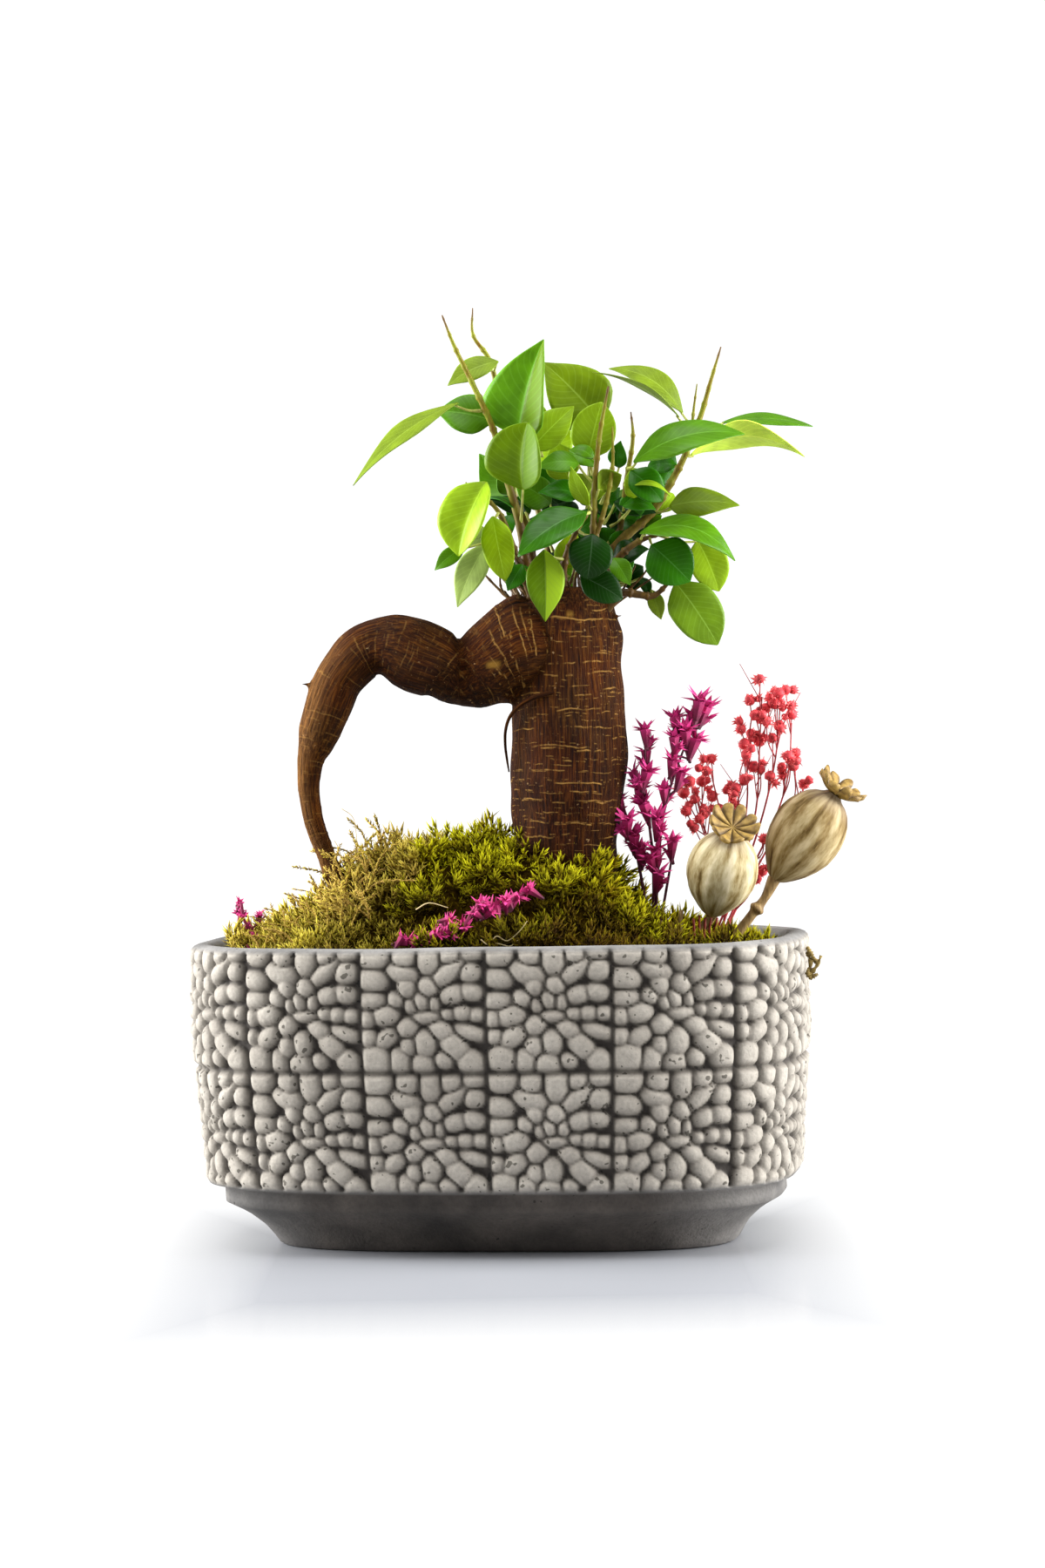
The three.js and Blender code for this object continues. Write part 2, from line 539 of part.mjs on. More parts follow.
add(bonsai, "pot", potGeometry(), 0xb9b2a6, 0.9);
add(bonsai, "soil", cut(soilGeometry(), groundSockets), 0x2b1d12, 1);
add(bonsai, "moss_left_clump", cut(wholeMoss, [rightBlock, groundSockets]), 0x8f8030, 1);
add(bonsai, "moss_mound", cut(wholeMoss, [leftBlock, groundSockets]), 0x77741a, 1);
add(bonsai, "moss_crumb", limb(crumbPoints, [0.6, 0.8, 0.8, 0.8, 0.5], 5, 8), 0x7d7550, 1);
add(plant, "trunk", cut(join(trunkPieces), [shootSockets, sockets([hairRoot])]), 0x4a2c18, 0.85);
add(plant, "hair_root", hairRoot, 0x3a2414, 0.9);
for (const [name, pieces] of shootParts) add(plant, name, join(pieces), 0x6f6a2c, 0.7);
leaves.forEach((leaf, i) => {
  const name = `leaf_${String(i + 1).padStart(2, "0")}`;
  add(plant, name, cut(leafGeometry(leaf), shootSockets), 0x4f8f2a, 0.35);
});
poppies.forEach((poppy, i) => {
  add(plant, `poppy_head_${i + 1}`, poppyHeads[i], 0xb7ad92, 0.8);
  add(plant, `poppy_stem_${i + 1}`, cut(poppyStems[i], sockets([poppyHeads[i]])), 0x6b4630, 0.8);
});
for (const [name, pieces, colour] of sprigParts) add(plant, name, join(pieces), colour, 0.9);

export default bonsai;
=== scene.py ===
# Grafted ficus with an arched aerial root, in an oblong concrete pot with moss and dried flowers
import math

import bpy
import numpy as np
from mathutils import Matrix, Vector


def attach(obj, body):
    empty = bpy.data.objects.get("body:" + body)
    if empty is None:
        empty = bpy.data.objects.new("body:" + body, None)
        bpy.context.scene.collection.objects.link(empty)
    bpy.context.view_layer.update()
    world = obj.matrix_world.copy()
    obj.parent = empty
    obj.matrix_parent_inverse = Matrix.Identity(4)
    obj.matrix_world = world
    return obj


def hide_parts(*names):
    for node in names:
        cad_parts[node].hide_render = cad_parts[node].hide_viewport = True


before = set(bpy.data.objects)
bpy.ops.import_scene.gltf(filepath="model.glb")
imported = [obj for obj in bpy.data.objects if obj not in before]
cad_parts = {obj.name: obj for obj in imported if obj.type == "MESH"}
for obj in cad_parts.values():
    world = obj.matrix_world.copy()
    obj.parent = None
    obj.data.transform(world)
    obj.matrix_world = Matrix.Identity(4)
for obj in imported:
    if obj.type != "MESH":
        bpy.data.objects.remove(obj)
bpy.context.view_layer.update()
print("frame loaded, nodes:", len(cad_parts))

mm = 0.001
plantTurn = math.radians(9)  # the plant stands turned in its pot
photo = {"width": 1200, "height": 1800}


# Small tools

def deselectAll():
    bpy.ops.object.select_all(action="DESELECT")


def fromPlant(point):
    # a point of the plant's own frame, in millimetres, goes to the row frame in metres
    return Matrix.Rotation(plantTurn, 3, "Z") @ Vector(point) * mm


def toPlant(where):
    # the other way, as arrays of x, y and height in millimetres
    c, s = math.cos(plantTurn), math.sin(plantTurn)
    return (where[:, 0] * c + where[:, 1] * s) / mm, (where[:, 1] * c - where[:, 0] * s) / mm, where[:, 2] / mm


def rgb(red, green, blue):
    return tuple((value / 255) ** 2.2 for value in (red, green, blue))


def ease(value, start, span):
    # 0 up to the start, growing to 1 over the span, which is negative where it grows downwards
    return np.clip((value - start) / span, 0, 1)


def unit(rows):
    return rows / np.linalg.norm(rows, axis=-1, keepdims=True)


def pointRows(x, y, z):
    # three columns side by side, each an array or one number
    return np.stack(np.broadcast_arrays(x, y, z), axis=1)


def ringFaces(rings, columns, start=0):
    # the faces between rings of points, all rings alike and one after another
    faces = []
    for row in range(start, start + (rings - 1) * columns, columns):
        for i in range(columns):
            a, b = row + i, row + (i + 1) % columns
            faces.append((a, b, b + columns, a + columns))
    return faces


def pick(piece):
    deselectAll()
    bpy.context.view_layer.objects.active = piece
    piece.select_set(True)


def inScene(name, data):
    made = bpy.data.objects.new(name, data)
    bpy.context.scene.collection.objects.link(made)
    return made


def meshPiece(name, vertices, faces, edges=()):
    mesh = bpy.data.meshes.new(name)
    mesh.from_pydata([tuple(v) for v in vertices], list(edges), [tuple(f) for f in faces])
    piece = inScene(name, mesh)
    pick(piece)
    return piece


def turned(name, profile, steps, unit=1.0):
    # a profile of (radius, height) pairs, spun once round the upright axis
    points = [(radius * unit, 0, height * unit) for radius, height in profile]
    piece = meshPiece(name, points, [], [(i, i + 1) for i in range(len(points) - 1)])
    bpy.ops.object.mode_set(mode="EDIT")
    bpy.ops.mesh.select_all(action="SELECT")
    bpy.ops.mesh.spin(steps=steps, angle=2 * math.pi, center=(0, 0, 0), axis=(0, 0, 1))
    bpy.ops.object.mode_set(mode="OBJECT")
    return piece


def coordinates(piece, kind="co"):
    flat = np.zeros(len(piece.data.vertices) * 3)
    piece.data.vertices.foreach_get(kind, flat)
    return flat.reshape(-1, 3)


def normalsOf(piece):
    return coordinates(piece, "normal")


def setCoordinates(piece, points):
    piece.data.vertices.foreach_set("co", np.asarray(points, float).ravel())
    piece.data.update()


def setAttribute(piece, name, values):
    # one value for each vertex, or one number for all of them
    values = np.asarray(values, float)
    if values.ndim == 0:
        values = np.full(len(piece.data.vertices), float(values))
    kind = "FLOAT" if values.ndim == 1 else "FLOAT_VECTOR"
    attribute = piece.data.attributes.new(name, kind, "POINT")
    attribute.data.foreach_set("value" if values.ndim == 1 else "vector", values.ravel())


def applyAll(piece):
    pick(piece)
    for modifier in list(piece.modifiers):
        bpy.ops.object.modifier_apply(modifier=modifier.name)


def closeSkin(piece, distance=0.00001):
    # merges doubles and turns all faces outwards
    pick(piece)
    bpy.ops.object.mode_set(mode="EDIT")
    bpy.ops.mesh.select_all(action="SELECT")
    bpy.ops.mesh.remove_doubles(threshold=distance)
    bpy.ops.mesh.normals_make_consistent(inside=False)
    bpy.ops.object.mode_set(mode="OBJECT")


def joined(name, pieces):
    deselectAll()
    for piece in pieces:
        piece.select_set(True)
    bpy.context.view_layer.objects.active = pieces[0]
    bpy.ops.object.join()
    pieces[0].name = pieces[0].data.name = name
    return pieces[0]


def finishPiece(piece, slotName, material, *nodes, smooth=True):
    if smooth:
        piece.data.shade_smooth()
    if material is not None:
        piece.data.materials.clear()
        piece.data.materials.append(material)
    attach(piece, "root")
    if nodes:
        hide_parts(*nodes)
    return piece


# Shader tools

def addNode(tree, kind, inputs=None, **settings):
    made = tree.nodes.new("ShaderNode" + kind)
    for key, value in settings.items():
        setattr(made, key, value)
    for key, value in (inputs or {}).items():
        if isinstance(value, bpy.types.NodeSocket):
            tree.links.new(value, made.inputs[key])
        else:
            made.inputs[key].default_value = value
    return made


def ramp(tree, factor, *stops):
    made = addNode(tree, "ValToRGB", {"Fac": factor})
    elements = made.color_ramp.elements
    elements[0].position, elements[0].color = stops[0][0], (*stops[0][1], 1)
    elements[1].position, elements[1].color = stops[-1][0], (*stops[-1][1], 1)
    for place, colour in stops[1:-1]:
        elements.new(place).color = (*colour, 1)
    return made.outputs["Color"]


def mixColours(tree, factor, first, second, blend="MIX"):
    made = addNode(tree, "Mix", data_type="RGBA", blend_type=blend)
    for socket, value in zip((made.inputs[0], made.inputs[6], made.inputs[7]), (factor, first, second)):
        if isinstance(value, bpy.types.NodeSocket):
            tree.links.new(value, socket)
        else:
            socket.default_value = (*value, 1) if isinstance(value, tuple) else value
    return made.outputs[2]


def maths(tree, operation, *values, clamp=False):
    made = addNode(tree, "Math", operation=operation, use_clamp=clamp)
    for socket, value in zip(made.inputs, values):
        if isinstance(value, bpy.types.NodeSocket):
            tree.links.new(value, socket)
        else:
            socket.default_value = value
    return made.outputs[0]


def noiseOf(tree, vector, scale, detail, roughness=0.55):
    made = addNode(tree, "TexNoise", {"Vector": vector, "Scale": scale, "Detail": detail, "Roughness": roughness})
    return made.outputs["Fac"]


def scaled(tree, vector, scale):
    return addNode(tree, "VectorMath", {0: vector, 1: scale}, operation="MULTIPLY").outputs[0]


def attributeOf(tree, name, output="Fac"):
    return addNode(tree, "Attribute", attribute_name=name).outputs[output]


def newMaterial(name, **sockets):
    # sockets are the shader's own, with _ for each space in a name
    material = bpy.data.materials.new(name)
    material.use_nodes = True
    shader = material.node_tree.nodes["Principled BSDF"]
    for key, value in sockets.items():
        shader.inputs[key.replace("_", " ")].default_value = value
    coords = addNode(material.node_tree, "TexCoord").outputs["Object"]
    return material, material.node_tree, shader, coords


def paint(tree, shader, colour):
    tree.links.new(colour, shader.inputs["Base Color"])


def multiplied(tree, colour, other):
    return mixColours(tree, 1.0, colour, other, "MULTIPLY")


def axesOf(tree, vector):
    return addNode(tree, "SeparateXYZ", {0: vector}).outputs


def lineAt(tree, away, width):
    # 1 on a line, falling to 0 where the distance from it is the width
    return maths(tree, "SUBTRACT", 1.0, maths(tree, "DIVIDE", away, width), clamp=True)


def offMiddle(tree, value):
    return maths(tree, "ABSOLUTE", maths(tree, "SUBTRACT", value, 0.5))


def above(tree, value, level, steepness):
    # 0 below the level, rising to 1 above it
    return maths(tree, "MULTIPLY", maths(tree, "SUBTRACT", value, level), steepness, clamp=True)


def bumpFrom(tree, shader, height, strength, distance):
    made = addNode(tree, "Bump", {"Height": height, "Strength": strength, "Distance": distance})
    tree.links.new(made.outputs["Normal"], shader.inputs["Normal"])


def darkened(tree, colour, mask, shade):
    # the colour times the shade where the mask is 1
    return multiplied(tree, colour, ramp(tree, attributeOf(tree, mask), (0.0, (1.0, 1.0, 1.0)), (1.0, shade)))


def mottledMaterial(name, scale, detail, dark, pale, bump=None, stops=(0.3, 0.7), stretch=None, **sockets):
    # two colours mixed by one noise, which can also be the bump
    material, tree, shader, coords = newMaterial(name, **sockets)
    mottle = noiseOf(tree, scaled(tree, coords, stretch) if stretch else coords, scale, detail)
    paint(tree, shader, ramp(tree, mottle, (stops[0], rgb(*dark)), (stops[1], rgb(*pale))))
    if bump:
        bumpFrom(tree, shader, mottle, *bump)
    return material


# Camera, light and floor

view = {"azimuth": 9, "elevation": 1.1, "distance": 1.243, "target": (0.00804, 0, 0.1456), "roll": 1.2,
        "focalPixels": 4439, "sensor": 36}
# the floor turns to glowing white past each edge, given as its place in metres and its steepness, so that only
# the soft shadow round the foot shows; a lamp has its place, size and watts
# the floor's colour is a grey that shows only round the pot, where it doesn't glow: a painted shadow and reflection
studio = {"floorSize": 16, "floorLevel": -0.0002, "floorShadeGrey": (0.34, 0.35, 0.375, 1), "floorRoughness": 0.2,
          "aside": (0.072, 22), "behind": (0, 9), "before": (0.13, 11), "white": 1.1, "fill": 0.3,
          "aim": (0, 0, 0.13),
          "lamps": {"softboxLeft": ((-1.2, -0.05, 0.42), 0.9, 57), "softboxRight": ((1.2, 0.06, 0.45), 0.9, 47),
                    "softboxTop": ((-0.05, -0.25, 1.4), 1.0, 21)}}


def cameraFrame():
    azimuth, elevation = math.radians(view["azimuth"]), math.radians(view["elevation"])
    back = Vector((math.sin(azimuth) * math.cos(elevation), -math.cos(azimuth) * math.cos(elevation),
                   math.sin(elevation)))
    turn = back.to_track_quat("Z", "Y").to_matrix() @ Matrix.Rotation(math.radians(-view["roll"]), 3, "Z")
    return Vector(view["target"]) + back * view["distance"], turn


def fromPhoto(column, row, depth):
    # the point seen at a pixel of the photograph, on the upright plane that lies depth millimetres behind
    # the plant's middle
    place, turn = cameraFrame()
    ray = turn @ Vector((column - photo["width"] / 2, photo["height"] / 2 - row, -view["focalPixels"]))
    away = Matrix.Rotation(plantTurn, 3, "Z") @ Vector((0, 1, 0))
    return place + ray * ((depth * mm - place.dot(away)) / ray.dot(away))


def makeCamera():
    place, turn = cameraFrame()
    camera = bpy.data.cameras.new("camera")
    camera.sensor_width = view["sensor"]
    camera.lens = view["focalPixels"] * view["sensor"] / photo["height"]
    holder = inScene("camera", camera)
    holder.matrix_world = Matrix.Translation(place) @ turn.to_4x4()
    bpy.context.scene.camera = holder


def makeFloor():
    deselectAll()
    bpy.ops.mesh.primitive_plane_add(size=studio["floorSize"], location=(0, 0, studio["floorLevel"]))
    floor = bpy.context.object
    floor.name = "floor"
    material, tree, shader, coords = newMaterial("floorWhite", Roughness=studio["floorRoughness"],
                                                 Base_Color=studio["floorShadeGrey"])
    facing = addNode(tree, "VectorRotate", {"Vector": coords, "Angle": -math.radians(view["azimuth"])},
                     rotation_type="Z_AXIS")
    across, deep, _ = axesOf(tree, facing.outputs[0])
    # where the floor doesn't glow it shows its grey, a painted shadow and reflection round and under the pot
    glow = maths(tree, "MAXIMUM", above(tree, maths(tree, "ABSOLUTE", across), *studio["aside"]),
                 above(tree, deep, *studio["behind"]))
    nearer = maths(tree, "MULTIPLY", deep, -1.0)
    glow = maths(tree, "MAXIMUM", glow, above(tree, nearer, *studio["before"]), clamp=True)
    white = addNode(tree, "Emission", {"Color": (1, 1, 1, 1), "Strength": studio["white"]})
    both = addNode(tree, "MixShader", {0: glow, 1: shader.outputs[0], 2: white.outputs[0]})
    tree.links.new(both.outputs[0], tree.nodes["Material Output"].inputs["Surface"])
    floor.data.materials.append(material)


def makeLight():
    world = bpy.data.worlds.new("studio")
    bpy.context.scene.world = world
    world.use_nodes = True
    tree = world.node_tree
    backdrop = addNode(tree, "Background", {"Color": (1, 1, 1, 1), "Strength": studio["white"]})
    fill = tree.nodes["Background"]
    fill.inputs["Color"].default_value = (1, 1, 1, 1)
    fill.inputs["Strength"].default_value = studio["fill"]
    eye = addNode(tree, "LightPath").outputs["Is Camera Ray"]
    both = addNode(tree, "MixShader", {0: eye, 1: fill.outputs[0], 2: backdrop.outputs[0]})
    tree.links.new(both.outputs[0], tree.nodes["World Output"].inputs["Surface"])
    for name, (spot, size, power) in studio["lamps"].items():
        lamp = bpy.data.lights.new(name, "AREA")
        lamp.size = size
        lamp.energy = power
        softbox = inScene(name, lamp)
        softbox.location = spot
        softbox.rotation_euler = (Vector(spot) - Vector(studio["aim"])).to_track_quat("Z", "Y").to_euler()
    settings = bpy.context.scene.view_settings
    settings.view_transform = "Standard"
    settings.look = "None"


# Pot: one casting with two rows of flower tiles round it, a smooth rim and a smooth foot

pot = {"halfLength": 98.8, "halfDepth": 62, "squareness": 3.2, "height": 96.8, "wall": 8, "floor": 10,
       "bandBottom": 20.9, "bandTaper": 0.965, "taperTop": 68, "footHalfLength": 74.1, "footShift": 1.2,
       "ledgeHalfLength": 89.5, "ledgeHeight": 14.5, "tiles": 14, "firstSeam": 4.5, "rowSeam": 58,
       "tileHeight": 39.2, "reliefDepth": 2.6, "waviness": 0.3, "columns": 205, "bandRows": 26,
       # out from the foot and up; in from the outer or the inner wall and down from the rim
       "flare": [(0, 0.5), (1.2, 2.5), (2.6, 4.5), (4.3, 6.6), (6.4, 8.5), (8.6, 10.4), (11, 12)],
       "lip": [(0.2, 2.6), (0.6, 1.6), (1.5, 0.7), (2.8, 0.15), (4.2, 0), (5.6, 0.15)],
       "inside": [(-1.2, 0.5), (-0.3, 1.4), (0, 3), (0.4, 10.8), (0.8, 20.8)]}
# the relief's steps in shares of a tile, and its heights between pebbles of one family and of two
groove = {"edge": 0.016, "roundness": 0.085, "crease": 0.035, "seam": 0.03, "row": 0.05, "softness": 0.6,
          "family": 0.78, "apart": 0.32, "roundPower": 2.3}

# one flower tile: each pebble's middle and size, both across and down in shares of the tile, its lean in degrees,
# and a number that pebbles run together share
pebbles = [
    (.118, .055, .23, .20, 0, 1), (.355, .07, .165, .20, 8, 2), (.553, .085, .165, .27, 0, 3),
    (.722, .06, .15, .16, 0, 4), (.90, .045, .17, .12, -8, 5), (.713, .198, .29, .125, -38, 5),
    (.89, .197, .165, .15, -5, 6), (.108, .256, .22, .15, 8, 7), (.345, .205, .25, .15, 20, 8),
    (.384, .31, .13, .165, -8, 8), (.553, .31, .145, .15, 0, 9), (.74, .378, .18, .13, -14, 10),
    (.885, .362, .17, .125, 8, 10), (.10, .42, .21, .12, 0, 11), (.293, .41, .125, .12, 20, 12),
    (.498, .425, .10, .145, -15, 13), (.41, .462, .078, .115, -20, 14), (.603, .44, .078, .12, 5, 15),
    (.54, .548, .21, .09, 0, 16), (.212, .538, .20, .15, -12, 17), (.062, .563, .11, .12, 0, 17),
    (.70, .53, .11, .08, 0, 18), (.815, .527, .13, .10, 0, 18), (.932, .535, .12, .095, 0, 18),
    (.388, .625, .165, .14, -35, 19), (.215, .712, .20, .13, -36, 20),
    (.068, .712, .11, .115, 0, 20), (.521, .757, .155, .20, 0, 21), (.655, .652, .19, .13, 33, 22),
    (.755, .78, .23, .165, 45, 22), (.89, .905, .20, .18, 40, 22), (.88, .675, .23, .10, 16, 23),
    (.378, .785, .125, .145, 5, 24), (.12, .888, .22, .21, 0, 20), (.309, .905, .15, .20, 0, 24),
    (.492, .93, .18, .17, 0, 21), (.66, .895, .135, .12, 18, 25),
]


def halfDepthOf(radius):
    return np.maximum(radius - (pot["halfLength"] - pot["halfDepth"]), radius * 0.2)


def potPlan(radius, angle):
    # a rounded oblong: angle 0 is the front middle, and it grows to the right
    across, deep = np.sin(angle), -np.cos(angle)
    power = 2 / pot["squareness"]
    return (radius * np.sign(across) * np.abs(across) ** power,
            halfDepthOf(radius) * np.sign(deep) * np.abs(deep) ** power)


def potArc():
    # angles of the plan against the share of the way round, so that columns stand evenly along the wall
    angle = np.linspace(-math.pi, math.pi, 40001)
    x, y = potPlan(np.full_like(angle, pot["halfLength"]), angle)
    steps = np.hypot(np.diff(x), np.diff(y))
    way = np.concatenate([[0], np.cumsum(steps)])
    return angle, way - way[-1] / 2, way[-1]


def pebbleHeight(across, down, turn):
    # height of the flower tile, from 0 in the grooves to 1 on the pebbles
    nearest, second = np.full_like(across, 9.0), np.full_like(across, 9.0)
    owner, rival = np.zeros_like(across), np.zeros_like(across)
    power = groove["roundPower"]
    for middleX, middleY, sizeX, sizeY, lean, family in pebbles:
        # each tile's pebbles are moved and sized a little differently
        nudge = 0.006 * np.sin(turn * 2.3 + middleX * 40 + middleY * 17)
        grow = 0.52 + 0.035 * np.sin(turn * 3.1 + middleX * 23 + middleY * 31)
        c, s = math.cos(math.radians(lean)), math.sin(math.radians(lean))
        dx, dy = across - middleX - nudge, down - middleY + nudge
        a, b = np.abs(dx * c + dy * s) / (sizeX * grow), np.abs(dy * c - dx * s) / (sizeY * grow)
        outside = ((a ** power + b ** power) ** (1 / power) - 1) * grow * min(sizeX, sizeY)
        closer = outside < nearest
        rival = np.where(closer, owner, np.where(outside < second, family, rival))
        second = np.where(closer, nearest, np.minimum(second, outside))
        owner = np.where(closer, family, owner)
        nearest = np.minimum(nearest, outside)
    pillow = np.sqrt(1 - (1 - ease(nearest, groove["edge"], -groove["roundness"])) ** 2)
    crease = ease(second - nearest, 0, groove["crease"]) ** 0.5
    floor = np.where(owner == rival, groove["family"], groove["apart"])
    seam = ease(np.minimum(across, 1 - across), 0, groove["seam"]) ** groove["softness"]
    # the upper row of tiles has no joint above it
    joint = np.minimum(1 - down, np.where(turn > 10, down + 0.01, 1))
    return pillow * (floor + (1 - floor) * crease) * seam * ease(joint, 0, groove["row"]) ** groove["softness"]


def potProfile():
    # from the middle of the underside up the outside, over the rim and down to the middle of the floor
    outer, rim, bottom, taper = pot["halfLength"], pot["height"], pot["bandBottom"], pot["bandTaper"]
    foot, ledge, shelf, inner = pot["footHalfLength"], pot["ledgeHalfLength"], pot["ledgeHeight"], outer - pot["wall"]
    low = bottom + 2
    profile = [(0, 0), (foot * 0.5, 0), (foot - 1, 0)] + [(foot + out, height) for out, height in pot["flare"]]
    profile += [(ledge - 1.6, shelf - 0.9), (ledge, shelf), (ledge, shelf + 2), (ledge, bottom - 1.2),
                (outer * taper - 1.2, bottom), (outer * taper, low)]
    for height in np.linspace(low, rim - pot["lip"][0][1], pot["bandRows"])[1:-1]:
        share = min((height - low) / (pot["taperTop"] - low), 1)
        profile.append((outer * (taper + (1 - taper) * share), height))
    profile += [(outer - inwards, rim - down) for inwards, down in pot["lip"]]
    profile += [(inner - inwards, rim - down) for inwards, down in pot["inside"]]
    return profile + [(ledge - pot["wall"], bottom + 4), (foot, pot["floor"]), (0, pot["floor"])]


def refineBand(piece):
    # finer faces on the flower band only
    bpy.ops.object.mode_set(mode="EDIT")
    bpy.ops.mesh.select_mode(type="FACE")
    bpy.ops.mesh.select_all(action="DESELECT")
    bpy.ops.object.mode_set(mode="OBJECT")
    for face in piece.data.polygons:
        middle = face.center / mm
        face.select = (math.hypot(middle.x, middle.y) > pot["halfLength"] * pot["bandTaper"] - 1
                       and pot["bandBottom"] < middle.z < pot["height"] - 1)
    bpy.ops.object.mode_set(mode="EDIT")
    bpy.ops.mesh.subdivide(number_cuts=3)
    bpy.ops.mesh.select_mode(type="VERT")
    bpy.ops.object.mode_set(mode="OBJECT")


def makePot(material):
    outer, rim, bottom = pot["halfLength"], pot["height"], pot["bandBottom"]
    piece = turned("potConcrete", potProfile(), pot["columns"], mm)
    closeSkin(piece)
    refineBand(piece)
    where = coordinates(piece) / mm
    radius, height = np.hypot(where[:, 0], where[:, 1]), where[:, 2]
    angles, way, around = potArc()
    share = np.arctan2(where[:, 0], -where[:, 1]) / (2 * math.pi)
    x, y = potPlan(radius, np.interp(share * around, way, angles))
    # which tile each vertex is on, and where on it
    band = (radius > outer * pot["bandTaper"] - 1.3) & (height > bottom - 0.1)
    tile = around / pot["tiles"]
    across = (share * around - pot["firstSeam"]) / tile
    lower = height < pot["rowSeam"]
    down = (pot["rowSeam"] - height) / pot["tileHeight"] + np.where(lower, 0.0, 1.0)
    relief = pebbleHeight(across - np.floor(across), down, np.floor(across) + np.where(lower, 20, 0))
    strength = np.where(band, ease(height, rim - 0.7, -1.5) * ease(height, bottom, 1.2), 0)
    wobble = 0.35 * np.sin(share * 31 + height * 0.07) + 0.25 * np.sin(share * 67 + 2 + height * 0.13)
    wobble *= pot["waviness"]
    inward = strength * pot["reliefDepth"] * (1 - relief) + np.where(band, wobble, 0)
    # the relief goes in along the plan's own normal
    slope = pot["squareness"] - 1
    wide, deep = np.maximum(radius, 1e-6), np.maximum(halfDepthOf(radius), 1e-6)
    normalX = np.sign(x) * np.abs(x / wide) ** slope / wide
    normalY = np.sign(y) * np.abs(y / deep) ** slope / deep
    size = np.maximum(np.hypot(normalX, normalY), 1e-9)
    x = x - inward * normalX / size + pot["footShift"] * np.clip(1 - height / bottom, 0, 1)
    y = y - inward * normalY / size
    lift = np.where(height > rim - 3, wobble, 0)
    setCoordinates(piece, pointRows(x, y, height + lift) * mm)
    # the relief's height, which the concrete paints dark in the grooves: painted shade
    setAttribute(piece, "relief", np.where(band, relief * strength + (1 - strength) * 0.55, 0.5))
    setAttribute(piece, "plain", 1 - strength)
    # the foot is a darker, sooty concrete, painted lighter towards its ends: a painted light from the side lamps
    setAttribute(piece, "foot", ease(height, bottom + 1, -2) * (1 - 0.6 * ease(np.abs(x), 52, 26)))
    return finishPiece(piece, "concrete", material, "pot")


def concreteMaterial():
    material, tree, shader, coords = newMaterial("castConcrete", Roughness=0.9)
    relief, plain = attributeOf(tree, "relief"), attributeOf(tree, "plain")
    cloudy = noiseOf(tree, coords, 40, 4)
    grainy = noiseOf(tree, coords, 900, 4)
    # darker the lower the relief stands: painted shade in the grooves and the hollows between pebbles
    shadedRelief = ramp(tree, relief, (0.0, rgb(58, 53, 49)), (0.3, rgb(90, 85, 78)), (0.6, rgb(132, 126, 117)),
                 (1.0, rgb(166, 160, 150)))
    smooth = ramp(tree, cloudy, (0.3, rgb(98, 97, 96)), (0.7, rgb(134, 132, 129)))
    sooty = ramp(tree, cloudy, (0.3, rgb(52, 48, 45)), (0.7, rgb(88, 81, 75)))
    # the foot's own dark colour, fading towards its ends: painted light from the side lamps
    smooth = mixColours(tree, attributeOf(tree, "foot"), smooth, sooty)
    colour = mixColours(tree, plain, shadedRelief, smooth)
    stain = ramp(tree, cloudy, (0.25, (0.72, 0.71, 0.7)), (0.7, (1.0, 1.0, 1.0)))
    colour = multiplied(tree, colour, stain)
    speck = ramp(tree, grainy, (0.3, (0.82, 0.82, 0.82)), (0.6, (1.0, 1.0, 1.0)))
    colour = multiplied(tree, colour, speck)
    pores = noiseOf(tree, coords, 420, 1)
    rare = maths(tree, "MULTIPLY_ADD", noiseOf(tree, coords, 50, 2), 0.3, pores)
    rare = maths(tree, "MULTIPLY_ADD", plain, -0.06, rare)
    pits = ramp(tree, rare, (0.83, (1.0, 1.0, 1.0)), (0.87, (0.3, 0.29, 0.27)))
    paint(tree, shader, multiplied(tree, colour, pits))
    bumpFrom(tree, shader, maths(tree, "ADD", grainy, maths(tree, "MULTIPLY", pores, -0.6)), 0.35, 0.0006)
    return material


# Natural stems and ripples

def smoothLine(points, count):
    # a centripetal curve through the points
    points = [Vector(p) for p in points]
    padded = [points[0] * 2 - points[1], *points, points[-1] * 2 - points[-2]]
    line = []
    for i in range(count + 1):
        along = min(i / count * (len(points) - 1), len(points) - 1 - 1e-9)
        step = int(along)
        t = along - step
        a, b, c, d = padded[step:step + 4]
        ab, bc, cd = (max((q - p).length, 1e-9) ** 0.5 for p, q in ((a, b), (b, c), (c, d)))
        leave = ((b - a) / ab - (c - a) / (ab + bc) + (c - b) / bc) * bc
        reach = ((c - b) / bc - (d - b) / (bc + cd) + (d - c) / cd) * bc
        line.append(b + leave * t + (c * 3 - b * 3 - leave * 2 - reach) * t ** 2
                    + (b * 2 - c * 2 + leave + reach) * t ** 3)
    return line


def strandOf(points, radii, count, place=fromPlant):
    # a stem's line in metres, each point with its radius
    line = smoothLine([place(p) for p in points], count)
    radius = np.interp(np.linspace(0, len(radii) - 1, count + 1), np.arange(len(radii)), radii)
    return [(point, size * mm) for point, size in zip(line, radius)]


def tubes(name, strands, sides):
    curve = bpy.data.curves.new(name, "CURVE")
    curve.dimensions = "3D"
    curve.bevel_depth = 1
    curve.bevel_resolution = max((sides - 4) // 2, 0)
    curve.use_fill_caps = True
    for strand in strands:
        spline = curve.splines.new("POLY")
        spline.points.add(len(strand) - 1)
        for spot, (point, radius) in zip(spline.points, strand):
            spot.co = (*point, 1)
            spot.radius = radius
    pick(inScene(name, curve))
    bpy.ops.object.convert(target="MESH")
    piece = bpy.context.object
    closeSkin(piece)
    return piece


